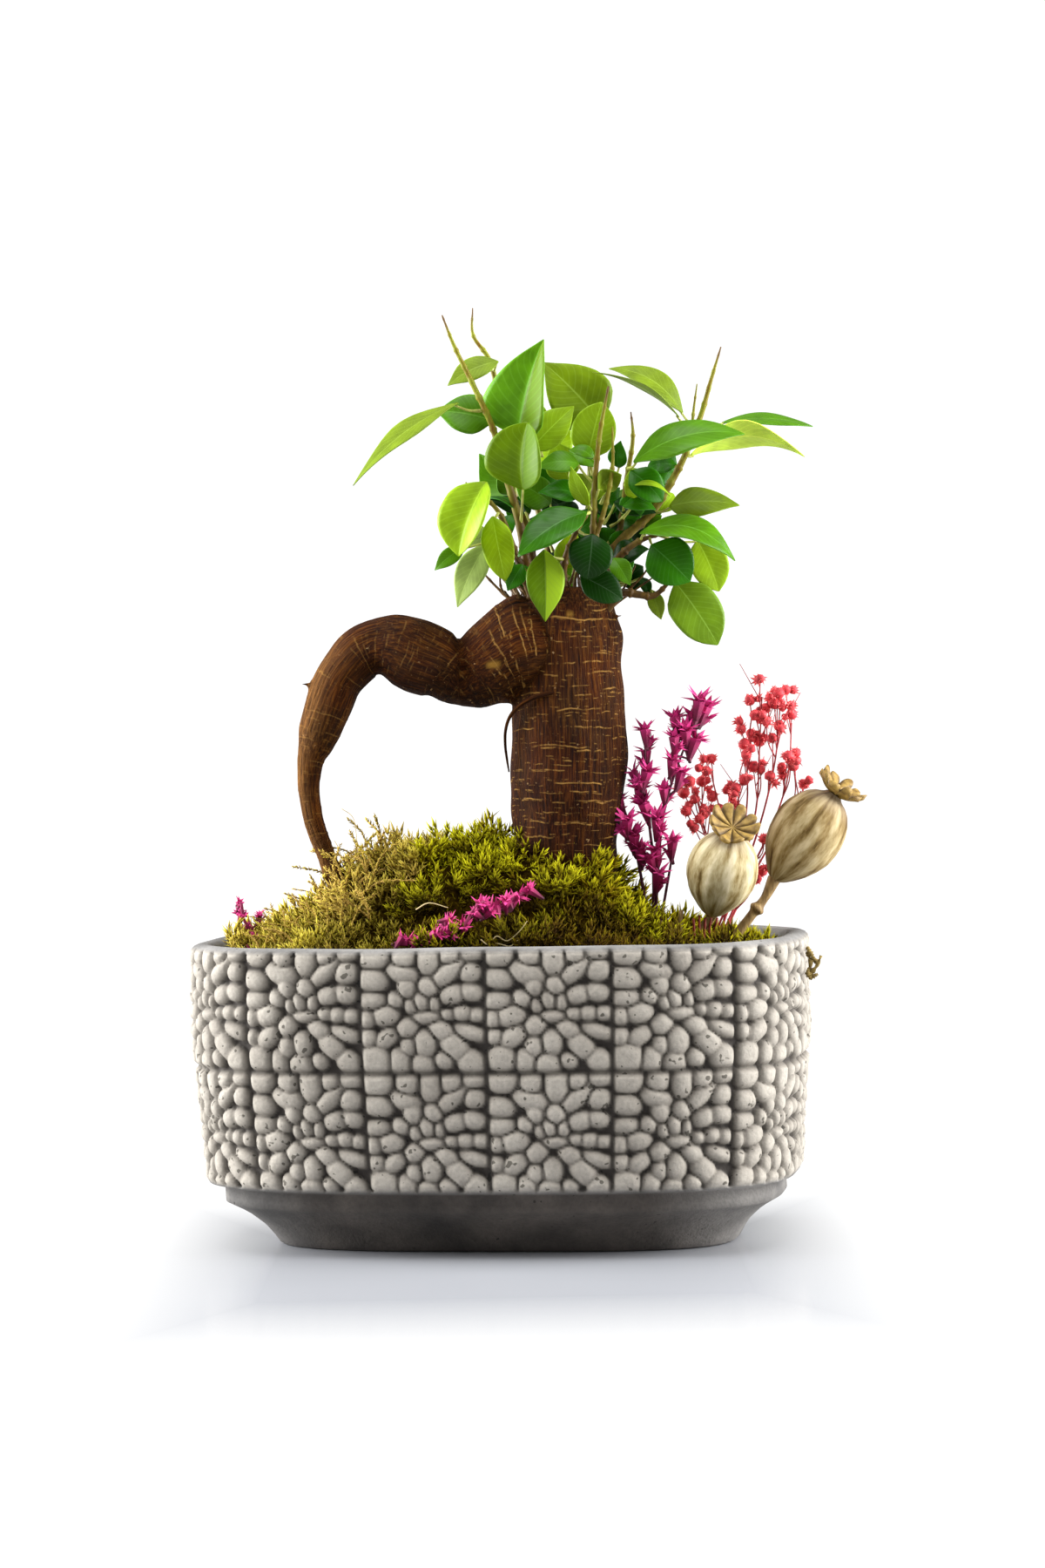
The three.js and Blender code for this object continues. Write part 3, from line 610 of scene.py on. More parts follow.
def limbSpace(piece, strands):
    # every vertex's place beside its nearest strand, as if the strand were straight: across, deep and along
    rows = []
    for number, strand in enumerate(strands):
        line = [p for p, _ in strand]
        side = Vector((0.3, 1, 0.2))  # the first one, square to no strand
        gone = number * 0.37
        for i, point in enumerate(line):
            forward = (line[min(i + 1, len(line) - 1)] - line[max(i - 1, 0)]).normalized()
            side = (side - forward * side.dot(forward)).normalized()
            rows.append((point, side.copy(), forward.cross(side), forward, gone, strand[i][1]))
            if i + 1 < len(line):
                gone += (line[i + 1] - point).length
    spots, across, deep, ahead, travel, size = (np.array(column) for column in zip(*rows))
    where = coordinates(piece)
    nearest = np.zeros(len(where), int)
    for start in range(0, len(where), 4000):
        part = where[start:start + 4000]
        gap = np.linalg.norm(part[:, None, :] - spots[None, :, :], axis=2) - size[None, :]
        nearest[start:start + 4000] = gap.argmin(axis=1)
    off = where - spots[nearest]
    return pointRows((off * across[nearest]).sum(1), (off * deep[nearest]).sum(1),
                     travel[nearest] + (off * ahead[nearest]).sum(1))


def ripple(points, length, seed, waves=7):
    # a smooth random field with bumps about one length across, from -1 to 1
    dice = np.random.default_rng(seed)
    total = np.zeros(len(points))
    for _ in range(waves):
        direction = dice.normal(size=points.shape[1])
        direction *= 2 * math.pi / (length * np.linalg.norm(direction) * dice.uniform(0.7, 1.4))
        total += np.sin(points @ direction + dice.uniform(0, 6.3))
    return total / waves ** 0.5 / 1.6


# Trunk and arched root, one grown piece

trunk = {
    "line": [(22, 0, 48), (22, 0, 80), (22, 0, 105), (22, 0, 127), (22.9, 0, 147), (23.3, 0, 162), (23, 0, 178),
             (23, 0, 193), (23, 0, 203), (23, 0, 208.5)],
    "radii": [6, 13, 16.5, 16.6, 18.9, 18.6, 17.7, 17.4, 15.5, 11.5],
    "archLine": [(22, -1, 190), (7, -2.5, 189.5), (-3.3, -3, 184.3), (-10, -3, 180.4), (-17.3, -3, 185.2),
                 (-25.5, -3, 188), (-32, -3, 190.3), (-38, -3, 190.5), (-43, -3, 188.5), (-46.5, -3, 185),
                 (-50.4, -3, 180), (-53.5, -2.5, 173), (-56.8, -2, 164), (-58.2, -2, 159.8), (-59.7, -2, 156),
                 (-60.6, -2, 148.5), (-60.4, -2, 142), (-59.6, -2, 136), (-58.1, -2, 131), (-56.3, -2, 126),
                 (-53.8, -2, 118), (-49, -2, 104), (-45, -2, 88)],
    "archRadii": [14, 16.3, 14, 9.2, 12.6, 12.6, 11, 9, 8.4, 8.2, 8, 7.6, 7, 5.7, 4.5, 3.8, 3.4, 3.4, 3.2, 3.1,
                  3.1, 2.8, 1.4],
    "stubs": [([(-52, -4, 176), (-58, -4.5, 178.5), (-62.3, -5, 179.2)], [1.6, 1.2, 0.7]),
              ([(-56, -3, 124), (-52.5, -4, 121), (-50.2, -4.5, 117.5)], [1.4, 1.6, 1.2]),
              ([(35, -4, 197.5), (39, -5, 198.5), (41.8, -5.5, 199.5)], [1.2, 0.9, 0.3])],
    "scars": [(-0.5, 184.6, 2.1, 1.2), (24.2, 199.4, 1, 0.9)],
    "dip": [(-32, 0), (-24, 0.9), (-17, 2), (-12.5, 3), (-10.8, 3.4), (-8.5, 2.9), (-4, 2.3), (1, 1.2), (7, 0)],
    "sag": [(-14, 0), (-8, 0.4), (-3, 1.3), (2.5, 1.5), (4.5, 1), (7.5, 0)],
    "voxel": 0.0009, "fluting": 0.5, "ridges": 0.16, "lumps": 0.35,
    # the cleft across the arch's top, the heights where it, the dip and the sag set in, and the bark's shading
    "cleft": {"x": -10.8, "z": 188, "lean": 0.1, "width": 1.2}, "cleftFrom": (174, 14), "dipFrom": (180, 12),
    "sagFrom": (181, -8), "archFrom": (3, -8), "shadeFrom": (-52, 12), "footShade": (176, -30),
    "paleAndLitFrom": (-44, -14),
}
# rows of pale dashes: their spacing along the limb, dashes round it, width, strength and shift
lenticelRows = [(0.0034, 150, 0.10, 0.8, 0.0), (0.0058, 62, 0.06, 1.0, 0.3), (0.0023, 260, 0.10, 0.55, 0.6)]


def lenticels(tree, limb):
    across, deep, along = axesOf(tree, limb)
    highest = None
    for spacing, dash, wide, strength, shift in lenticelRows:
        wavy = maths(tree, "MULTIPLY_ADD", noiseOf(tree, limb, 90, 3), 0.0034, along)
        level = maths(tree, "ADD", maths(tree, "DIVIDE", wavy, spacing), shift)
        rung = maths(tree, "FLOOR", level)
        line = lineAt(tree, offMiddle(tree, maths(tree, "FRACT", level)), wide)
        spot = addNode(tree, "CombineXYZ", {0: maths(tree, "MULTIPLY", across, dash),
                                            1: maths(tree, "MULTIPLY", deep, dash),
                                            2: maths(tree, "MULTIPLY", rung, 5.3)}).outputs[0]
        broken = above(tree, noiseOf(tree, spot, 1, 4, 0.65), 0.52, 9)
        height = maths(tree, "MULTIPLY", maths(tree, "MULTIPLY", line, broken), strength)
        highest = height if highest is None else maths(tree, "MAXIMUM", highest, height)
    return maths(tree, "MULTIPLY", highest, attributeOf(tree, "dashes"))


def barkMaterial():
    material, tree, shader, _ = newMaterial("ficusBark", Roughness=0.82, Specular_IOR_Level=0.08)
    limb = attributeOf(tree, "limb", "Vector")
    fibres = noiseOf(tree, scaled(tree, limb, (1500, 1500, 90)), 1, 5, 0.65)
    patches = noiseOf(tree, scaled(tree, limb, (75, 75, 40)), 1, 4)
    colour = ramp(tree, fibres, (0.3, rgb(20, 9, 1)), (0.5, rgb(54, 29, 5)), (0.7, rgb(96, 60, 20)))
    colour = multiplied(tree, colour, ramp(tree, patches, (0.35, (0.68, 0.74, 0.7)), (0.65, (1.25, 1.04, 0.85))))
    colour = darkened(tree, colour, "shade", (0.42, 0.3, 0.22))
    tan = ramp(tree, fibres, (0.3, rgb(66, 40, 14)), (0.7, rgb(142, 100, 54)))
    dashes = lenticels(tree, limb)
    fleck = above(tree, noiseOf(tree, limb, 620, 2), 0.69, 12)
    # the tan mixes in by the pale mask: the leg's own paler bark, with painted light on its left side
    for mask, strength, other in ((attributeOf(tree, "pale"), 0.58, tan), (dashes, 0.9, rgb(178, 134, 70)),
                                  (attributeOf(tree, "scar"), 0.75, rgb(150, 112, 48)),
                                  (fleck, 0.6, rgb(168, 134, 92))):
        colour = mixColours(tree, maths(tree, "MULTIPLY", mask, strength), colour, other)
    paint(tree, shader, colour)
    rough = maths(tree, "MULTIPLY_ADD", noiseOf(tree, limb, 900, 4), 0.5, maths(tree, "MULTIPLY", fibres, 1.3))
    bumpFrom(tree, shader, maths(tree, "MULTIPLY_ADD", dashes, 0.5, rough), 0.8, 0.0011)
    return material


def makeTrunk(material):
    strands = [strandOf(trunk["line"], trunk["radii"], 70), strandOf(trunk["archLine"], trunk["archRadii"], 160)]
    strands += [strandOf(points, radii, 8) for points, radii in trunk["stubs"]]
    piece = tubes("trunkBark", strands, 28)
    remesh = piece.modifiers.new("skin", "REMESH")
    remesh.mode = "VOXEL"
    remesh.voxel_size = trunk["voxel"] * 1
    smoothing = piece.modifiers.new("smoothing", "SMOOTH")
    smoothing.factor = 0.5
    smoothing.iterations = 9
    applyAll(piece)
    straight = limbSpace(piece, strands)
    turn = np.arctan2(straight[:, 1], straight[:, 0])
    thick = np.clip(np.hypot(straight[:, 0], straight[:, 1]) / 0.016, 0, 1)
    flutes = trunk["fluting"] * np.sin(3 * turn + 30 * straight[:, 2]) * thick ** 2
    around = pointRows(np.cos(turn), np.sin(turn), straight[:, 2] * 14)
    ridges = trunk["ridges"] * ripple(around * 9, 2.2, 5, 12)
    lumps = trunk["lumps"] * ripple(straight, 0.016, 8) * (0.3 + thick)
    where = coordinates(piece)
    x, y, height = toPlant(where)
    cleft = trunk["cleft"]
    beside = (x - cleft["x"] + cleft["lean"] * (height - cleft["z"])) / cleft["width"]
    notch = -np.exp(-beside ** 2) * ease(height, *trunk["cleftFrom"])
    where = where + normalsOf(piece) * ((flutes + ridges + lumps + notch) * mm)[:, None]
    dip = np.interp(x, *zip(*trunk["dip"])) * ease(height, *trunk["dipFrom"])
    sag = np.interp(x, *zip(*trunk["sag"])) * ease(height, *trunk["sagFrom"]) * (height > 160)
    where[:, 2] -= (dip + sag) * mm
    setCoordinates(piece, where)
    setAttribute(piece, "limb", straight)
    arch = ease(x, *trunk["archFrom"])
    setAttribute(piece, "dashes", 1 - 0.72 * arch)
    scars = [np.exp(-((x - middle) / wide) ** 4 - ((height - level) / tall) ** 4)
             for middle, level, wide, tall in trunk["scars"]]
    setAttribute(piece, "scar", np.max(scars, axis=0) * (y < 0))
    normals = normalsOf(piece)
    shade = np.clip(0.25 * arch + 0.75 * arch * -normals[:, 2], 0, 1) * ease(x, *trunk["shadeFrom"])
    setAttribute(piece, "shade", np.maximum(shade, 0.55 * ease(height, *trunk["footShade"]) * (1 - arch)))
    # the outer leg is paler, its own tan bark, and paler still on its side turned to the left: a painted light from
    # the left lamp; random paler patches lie over the front
    outer = ease(x, *trunk["paleAndLitFrom"]) * np.clip(0.5 - 0.16 * normals[:, 0] * 6, 0, 1)
    setAttribute(piece, "pale", np.clip(outer + 0.1 * ripple(where / mm, 9, 3), 0, 1) * (y < 20))
    return finishPiece(piece, "bark", material, "trunk")


def makeHairRoot(material):
    line = [(21.5, -16.6, 175), (14.5, -17, 174), (8.5, -14.5, 171.5), (4.5, -11, 167.5), (2.9, -8.5, 163),
            (2.7, -7, 158), (3.1, -6.5, 154), (3.7, -6.5, 149.6)]
    strands = [strandOf(line, [0.9, 0.8, 0.7, 0.6, 0.5, 0.45, 0.4, 0.25], 40)]
    piece = tubes("hairRoot", strands, 8)
    setAttribute(piece, "limb", limbSpace(piece, strands))
    for name in ("pale", "shade", "dashes", "scar"):
        setAttribute(piece, name, 0)
    return finishPiece(piece, "bark", material, "hair_root")


# Shoots

shoots = {
    "shoot_tall_left": [([(12, -3, 203), (9, -6, 228), (4, -8, 247), (1, -8.5, 259), (-5, -9, 273),
                          (-11, -9, 286), (-14.6, -9, 295.7)], [2.2, 1.8, 1.5, 1.3, 1.1, 0.8, 0.3])],
    "shoot_back_left": [([(15, 5, 203), (9, 8, 240), (4, 10, 265), (0, 10, 283), (-5, 10, 291),
                          (-5, 10, 299.7)], [2.2, 1.6, 1.3, 1, 0.7, 0.25])],
    "shoot_centre_twin": [([(29, -5, 203), (32, -8, 222), (33, -9, 241), (35, -9, 257), (38, -8, 272)],
                           [2, 1.6, 1.2, 1, 0.4]),
                          ([(32, -8, 222), (36, -9.5, 233), (38.7, -10, 246), (39, -10, 259)],
                           [1.2, 1, 0.8, 0.3])],
    "shoot_tall_right": [([(33, 1, 203), (39, 2, 220.5), (51, 3, 231.7), (58, 2, 242), (62.5, 1, 250.3),
                           (67.8, 0, 263), (71.4, 0, 274.7), (74.6, 0, 284.6)],
                          [2.4, 2, 1.7, 1.5, 1.3, 1.1, 0.8, 0.3]),
                         ([(64.5, 0.5, 255), (65.2, -1, 263), (66.6, -1.5, 272.8)], [0.8, 0.6, 0.25])],
    "shoot_right_inner": [([(33, 9, 203), (40, 8, 222), (43.5, -1, 243), (45.6, -5, 256), (45.1, -5, 264)],
                           [1.8, 1.4, 1.1, 0.8, 0.25])],
    "shoot_left_low": [([(13, -7, 203), (7, -10, 220), (2, -11, 232.8), (-8.2, -12, 242.2)],
                        [1.8, 1.4, 1, 0.25])],
    "shoot_right_low": [([(35.2, -3, 203), (40, -9, 217), (47, -10, 222.5), (54, -10, 224.5)],
                         [1.8, 1.5, 1.2, 0.5])],
    "shoot_right_knobby": [([(34, -6, 198), (41, -8, 206), (46, -8, 205.5), (51, -8, 205), (57, -8, 210)],
                            [1.8, 1.6, 1.6, 1.3, 0.6])],
    "shoot_front_low": [([(22, -8, 203), (23, -13, 217), (27, -15, 226), (31, -15, 232)],
                         [1.8, 1.4, 1.1, 0.5])],
    "shoot_back_right": [([(28, 8, 203), (31, 13, 225), (32, 14, 245), (32, 13, 262), (30, 12, 268)],
                          [2, 1.6, 1.2, 1, 0.4])],
    "shoot_back_middle": [([(19, 9, 203), (18, 16, 222), (14, 20, 238), (12, 21, 250)], [2, 1.6, 1.2, 0.4])],
}
twigs = {"knotSpacing": 0.0055, "knotSwell": 0.38, "knotLength": 0.09, "thin": 0.78, "woodyUpTo": 0.218,
         "freshFrom": 0.256, "dryTipsAbove": 0.255}
tangle = {"count": 58, "from": 201, "spacing": (9, 37), "depth": (-8, 13), "reach": (9, 26), "thick": (0.35, 0.75)}


def twigMaterial():
    material, tree, shader, coords = newMaterial("ficusTwig", Roughness=0.5, Specular_IOR_Level=0.2)
    mottled = noiseOf(tree, scaled(tree, coords, (500, 500, 160)), 1, 4)
    wood = ramp(tree, mottled, (0.3, rgb(46, 28, 8)), (0.7, rgb(98, 72, 26)))
    green = ramp(tree, mottled, (0.25, rgb(108, 66, 26)), (0.42, rgb(112, 100, 24)), (0.7, rgb(128, 140, 38)))
    colour = mixColours(tree, attributeOf(tree, "fresh"), wood, green)
    paint(tree, shader, mixColours(tree, attributeOf(tree, "tip"), colour, rgb(96, 74, 44)))
    bumpFrom(tree, shader, mottled, 0.5, 0.0004)
    return material


def makeTangle(material):
    # short thin twigs on the cut top of the trunk
    dice = np.random.default_rng(12)
    strands = []
    for _ in range(tangle["count"]):
        x, y = dice.uniform(*tangle["spacing"]), dice.uniform(*tangle["depth"])
        lean = Vector((dice.normal((x - 22) * 0.05, 0.4), dice.normal(0.1, 0.3), 1)).normalized()
        reach = dice.uniform(*tangle["reach"])
        bend = Vector((dice.normal(0, 2), dice.normal(0, 2), 0))
        foot = Vector((x, y, tangle["from"]))
        line = smoothLine([foot, foot + lean * reach * 0.55 + bend, foot + lean * reach], 14)
        size = dice.uniform(*tangle["thick"])
        strands.append([(fromPlant(p), size * (1 - 0.04 * k) * (1.35 if k % 4 == 1 else 1) * mm)
                        for k, p in enumerate(line)])
    piece = tubes("twigTangle", strands, 6)
    setAttribute(piece, "fresh", np.clip((coordinates(piece)[:, 2] - 0.215) / 0.02, 0, 0.8))
    setAttribute(piece, "tip", 0)
    finishPiece(piece, "shoot", material)


def makeShoots(material):
    for name, stems in shoots.items():
        strands = []
        for points, radii in stems:
            strand = strandOf(points, radii, 90)
            gone, knotted = 0.0, []
            for i, (point, radius) in enumerate(strand):
                if i:
                    gone += (point - strand[i - 1][0]).length
                phase = (gone / twigs["knotSpacing"]) % 1 - 0.5
                swell = 1 + twigs["knotSwell"] * math.exp(-(phase / twigs["knotLength"]) ** 2)
                knotted.append((point, radius * twigs["thin"] * swell))
            strands.append(knotted)
        pieceName = "twig" + "".join(word.capitalize() for word in name.split("_")[1:])
        piece = tubes(pieceName, strands, 10)
        height = coordinates(piece)[:, 2]
        setAttribute(piece, "fresh", ease(height, twigs["woodyUpTo"], twigs["freshFrom"] - twigs["woodyUpTo"]))
        top = max(height)
        setAttribute(piece, "tip", ease(height - top, -0.006, 0.004) * (top > twigs["dryTipsAbove"]))
        finishPiece(piece, "shoot", material, name)


# Leaves: each line is the stalk's foot, the blade's base and tip, its half width, the way it faces, fold, arch,
# then its colours and outline

leafTones = {
    "fresh": {"top": (98, 118, 26), "under": (124, 148, 54), "rough": 0.5},
    "broad": {"top": (86, 114, 22), "under": (130, 156, 60), "rough": 0.4},
    # the pale tone is the young leaves' own light green with painted light shining through them
    "pale": {"top": (184, 214, 72), "under": (176, 204, 84), "rough": 0.45},
    "lime": {"top": (120, 150, 24), "under": (160, 190, 60), "rough": 0.4},
    "mid": {"top": (68, 110, 12), "under": (112, 146, 48), "rough": 0.35},
    "olive": {"top": (114, 142, 10), "under": (130, 156, 36), "rough": 0.38},
    "oliveDim": {"top": (90, 112, 4), "under": (120, 146, 34), "rough": 0.42},
    "deep": {"top": (40, 90, 4), "under": (76, 112, 28), "rough": 0.32},
    # a near-black green for leaves deep in the foliage: painted shade over their own dark green
    "shadedDark": {"top": (18, 46, 1), "under": (44, 74, 14), "rough": 0.32},
    "glossy": {"top": (44, 86, 14), "under": (112, 146, 48), "rough": 0.26},
    # in the three split tones one half of the top, on the given side, is another green: painted shade where that half
    # is darker, painted light where it is lighter
    "splitMid": {"top": (80, 128, 16), "half": (84, 112, 3), "side": -1, "under": (120, 150, 50), "rough": 0.36},
    "splitOlive": {"top": (72, 98, 2), "half": (134, 166, 36), "side": 1, "under": (130, 156, 36), "rough": 0.38},
    "splitLow": {"top": (88, 116, 3), "half": (80, 110, 0), "side": -1, "under": (130, 156, 36), "rough": 0.38},
    "greyish": {"top": (124, 144, 72), "under": (138, 154, 86), "rough": 0.5},
}
leafOutlines = {
    "ovate": [0.05, 0.42, 0.74, 0.93, 1, 0.98, 0.9, 0.75, 0.52, 0.26, 0.02],
    "round": [0.05, 0.48, 0.8, 0.96, 1, 1, 0.96, 0.87, 0.7, 0.44, 0.03],
    "long": [0.05, 0.34, 0.66, 0.88, 1, 0.98, 0.84, 0.62, 0.38, 0.17, 0.01],
    "delta": [0.1, 0.78, 0.98, 1, 0.94, 0.83, 0.69, 0.53, 0.36, 0.18, 0.01],
    "full": [0.07, 0.62, 0.9, 1, 1, 0.95, 0.84, 0.68, 0.46, 0.22, 0.02],
}
leaves = [
    ((-2.5, -8.7, 265), (-10, -11, 267.5), (-43.8, -16, 241.6), 6.5, (-0.35, -0.5, 0.8), 15, 3.5, "fresh", "long"),
    ((1.6, -8.4, 257), (1, -3, 262), (-17, -2, 265.5), 7.5, (0.1, -0.9, 0.4), 12, 2, "mid", "ovate"),
    ((1.2, 10, 279), (3, 7.5, 282), (-13.5, 6, 274.5), 5, (-0.2, -0.8, 0.55), 15, 2, "fresh", "ovate"),
    ((3.3, -8.2, 250), (8.9, -4, 257), (17.7, -8, 287.4), 15.5, (-0.58, -0.8, 0.1), 34, 2, "splitMid", "delta"),
    ((32, 13, 260), (36, 10, 261.5), (17.5, 9, 281.5), 11.5, (0.1, -0.9, 0.35), 12, 2, "oliveDim", "full"),
    ((5.5, -7.2, 240), (12, -3, 252), (27, 0, 266.5), 6, (0.2, -0.9, 0.35), 15, 2, "lime", "ovate"),
    ((32, 14, 245), (31, 6, 250), (36, 4, 268), 7.5, (0, -1, 0.2), 15, 2, "lime", "round"),
    ((66, 0.2, 259), (62, 4, 264), (38.7, 8, 279), 6, (-0.3, -0.45, 0.85), 15, 5, "fresh", "ovate"),
    ((65.6, 0.2, 257.5), (60.5, -5, 262), (33.1, -8, 276.6), 4, (-0.4, 0, 0.9), 15, 3, "fresh", "long"),
    ((44, -3.7, 246), (45.5, -11, 247.5), (80.8, -13, 255.5), 9, (0, -0.62, 0.78), 12, 5, "mid", "ovate"),
    ((62.5, 1, 250.3), (64, 4, 250), (101, 3, 249), 8, (0, 0.5, 0.86), 15, 8, "pale", "long"),
    ((66.4, 0.3, 260), (75, 10, 261), (104.5, 12, 259.3), 6, (0, -0.36, 0.93), 10, 2, "mid", "round"),
    ((51.5, 3, 232), (56.9, -2, 233.6), (79.3, -4, 233.4), 7, (0, -0.7, 0.7), 10, 2, "oliveDim", "full"),
    ((47, -10, 222.5), (47, -12, 224.8), (76.9, -15, 215.3), 7.5, (0.15, -0.6, 0.78), 12, 7.5, "mid", "ovate"),
    ((53, -10, 224.3), (65.5, -6, 222.5), (72, -7, 206), 6.5, (0.1, -0.95, 0.2), 15, 2, "lime", "round"),
    ((50, -10, 223.6), (50.5, -13, 221), (62.5, -15, 209), 8, (0, -1, 0.1), 12, 2, "deep", "round"),
    ((56, -8, 209), (58, -9.5, 209), (71, -12, 188.8), 8.5, (0.1, -0.95, 0.3), 10, 2, "broad", "round"),
    ((51, -8, 205), (50.5, -3.5, 207), (53.5, -3, 197.5), 2.8, (0, -1, 0.1), 15, 2, "fresh", "ovate"),
    ((31, -15, 231.6), (30, -17.5, 231.5), (8, -25, 217.6), 8.5, (-0.25, -0.72, 0.65), 15, 3, "glossy", "ovate"),
    ((23, -13, 217), (16.4, -18, 220), (16.2, -21, 197.2), 6.4, (0.1, -1, 0.1), 14, 2, "splitOlive", "ovate"),
    ((27, -15, 226), (31.7, -19.5, 224.5), (29.7, -22, 210), 7.2, (0.1, -1, 0), 10, 2, "shadedDark", "round"),
    ((30.6, -6.5, 212), (27.8, -16, 211.5), (40.8, -16.5, 203.8), 5.4, (0, -0.95, 0.2), 12, 2, "shadedDark", "round"),
    ((-1.5, -11.4, 236.5), (-1.5, -14, 242), (-10.8, -16, 218.6), 11.4, (-0.6, -0.78, 0.2), 34, 2, "lime", "round"),
    ((5.5, -10.4, 224), (-1.5, -8, 223), (-11.6, -9, 202.6), 5.5, (-0.3, -0.9, 0.3), 15, 2, "greyish", "ovate"),
    ((2.2, -11, 232.4), (0.2, -15, 231), (3.9, -18, 210.4), 5.2, (-0.1, -1, 0.1), 12, 2, "olive", "round"),
    ((9, -6, 228), (10, -12, 239.5), (12, -16, 260.6), 13.2, (-0.55, -0.8, 0.2), 34, 2, "splitLow", "round"),
    ((33, -9, 241), (28, -9, 247.5), (14.5, -8.5, 246.5), 4.5, (0, -0.8, 0.6), 12, 2, "mid", "full"),
    ((32.6, -8.5, 235), (28, -9, 237.5), (15, -9, 238.5), 4.5, (0, -0.8, 0.6), 12, 2, "deep", "full"),
    ((43, -2, 242), (44.5, -6, 245), (54.5, -7, 235), 5.5, (0.2, -0.95, 0.2), 12, 2, "deep", "round"),
    ((14, 20, 238), (11, 23, 239), (-4, 31, 254), 8, (-0.5, 0.8, 0.1), 15, 3, "mid", "ovate"),
    ((12.3, 20.8, 247), (14, 24, 250), (24, 33, 268), 9, (0, 0.9, -0.3), 15, 2, "olive", "ovate"),
    ((32, 14, 237), (35, 18, 237), (54, 30, 228), 9, (0.2, 0.6, 0.75), 15, 4, "mid", "ovate"),
    ((30.7, 12.5, 220), (33, 17, 222), (40, 28, 207), 8, (0.1, 0.9, 0.4), 15, 2, "deep", "round"),
    ((18.4, 14.5, 217), (19, 19, 220), (21, 28, 203), 7, (-0.1, 0.9, 0.4), 15, 2, "mid", "round"),
]
smallLeaves = [
    ((9, -6, 228), (9.5, -5.5, 232), (-2, -4, 237.5), 3, (0, -0.3, 1), 15, 2, "deep", "ovate"),
    ((34, -9, 250), (33, -6, 249), (25, -4, 252), 3, (0, -0.7, 0.7), 15, 2, "mid", "ovate"),
    ((32.6, -8.5, 232), (31, -11, 234), (25.5, -12, 246.5), 3, (-0.5, -0.8, 0), 15, 2, "lime", "ovate"),
    ((62, 1.1, 249), (60, 5, 247), (50, 7, 246), 4, (0, -0.8, 0.6), 15, 2, "deep", "ovate"),
    ((42, 4.4, 232), (42, -2, 234), (52.5, -4, 232.5), 3.6, (0, -0.7, 0.7), 15, 2, "deep", "ovate"),
    ((4, -10.6, 227), (-9, -9, 221.5), (-18.6, -9, 214.5), 3, (-0.2, -1, 0.2), 15, 2, "mid", "ovate"),
    ((4.5, -10.5, 226), (-1.5, -6, 227), (-9.5, -5, 224), 3, (0, -0.9, 0.5), 15, 2, "greyish", "ovate"),
    ((10, -8.6, 212), (9.4, -15, 215.5), (4.5, -16, 207.3), 3.5, (0, -1, 0.1), 15, 2, "deep", "ovate"),
    ((40, -9, 217), (38.4, -12.5, 217), (43.5, -14, 208.3), 3.5, (0, -1, 0.1), 15, 2, "mid", "ovate"),
    ((43, -1, 241), (44.5, -8, 240), (57, -9, 236.5), 1.8, (0.1, -0.5, 0.8), 10, 3, "lime", "long"),
    ((33, -9, 236), (34, -11, 239), (41.5, -12, 243.5), 4.6, (0.6, -0.7, 0.1), 25, -4, "fresh", "round"),
    ((20, 6, 226), (19, 2, 228), (9, 0, 222), 4.6, (0, -1, 0.2), 12, 2, "shadedDark", "round"),
    ((26, 6, 222), (27, 2, 226), (35, 0, 231), 5, (0, -1, 0.2), 12, 2, "deep", "round"),
    ((24, 2, 212), (22, -6, 214), (27, -9, 226), 4.4, (0, -1, 0.2), 14, 2, "olive", "ovate"),
    ((36, 2, 214), (38, -2, 216), (50, -4, 220), 4.6, (0, -0.8, 0.5), 12, 3, "shadedDark", "ovate"),
    ((17, 2, 214), (14, -4, 215), (4, -6, 211), 4.4, (0, -1, 0.2), 12, 2, "deep", "ovate"),
    ((20, 10, 232), (19, 8, 236), (8, 6, 243), 5.6, (0, -1, 0.2), 12, 2, "mid", "round"),
    ((24, 12, 240), (25, 9, 243), (20, 6, 256), 6, (0, -1, 0.2), 14, 2, "lime", "ovate"),
    ((38, 6, 228), (42, 3, 231), (50, 1, 238), 4.4, (0, -1, 0.3), 12, 2, "deep", "round"),
    ((29, 10, 214), (31, 8, 216), (42, 6, 211), 5, (0, -1, 0.2), 12, 2, "shadedDark", "round"),
]
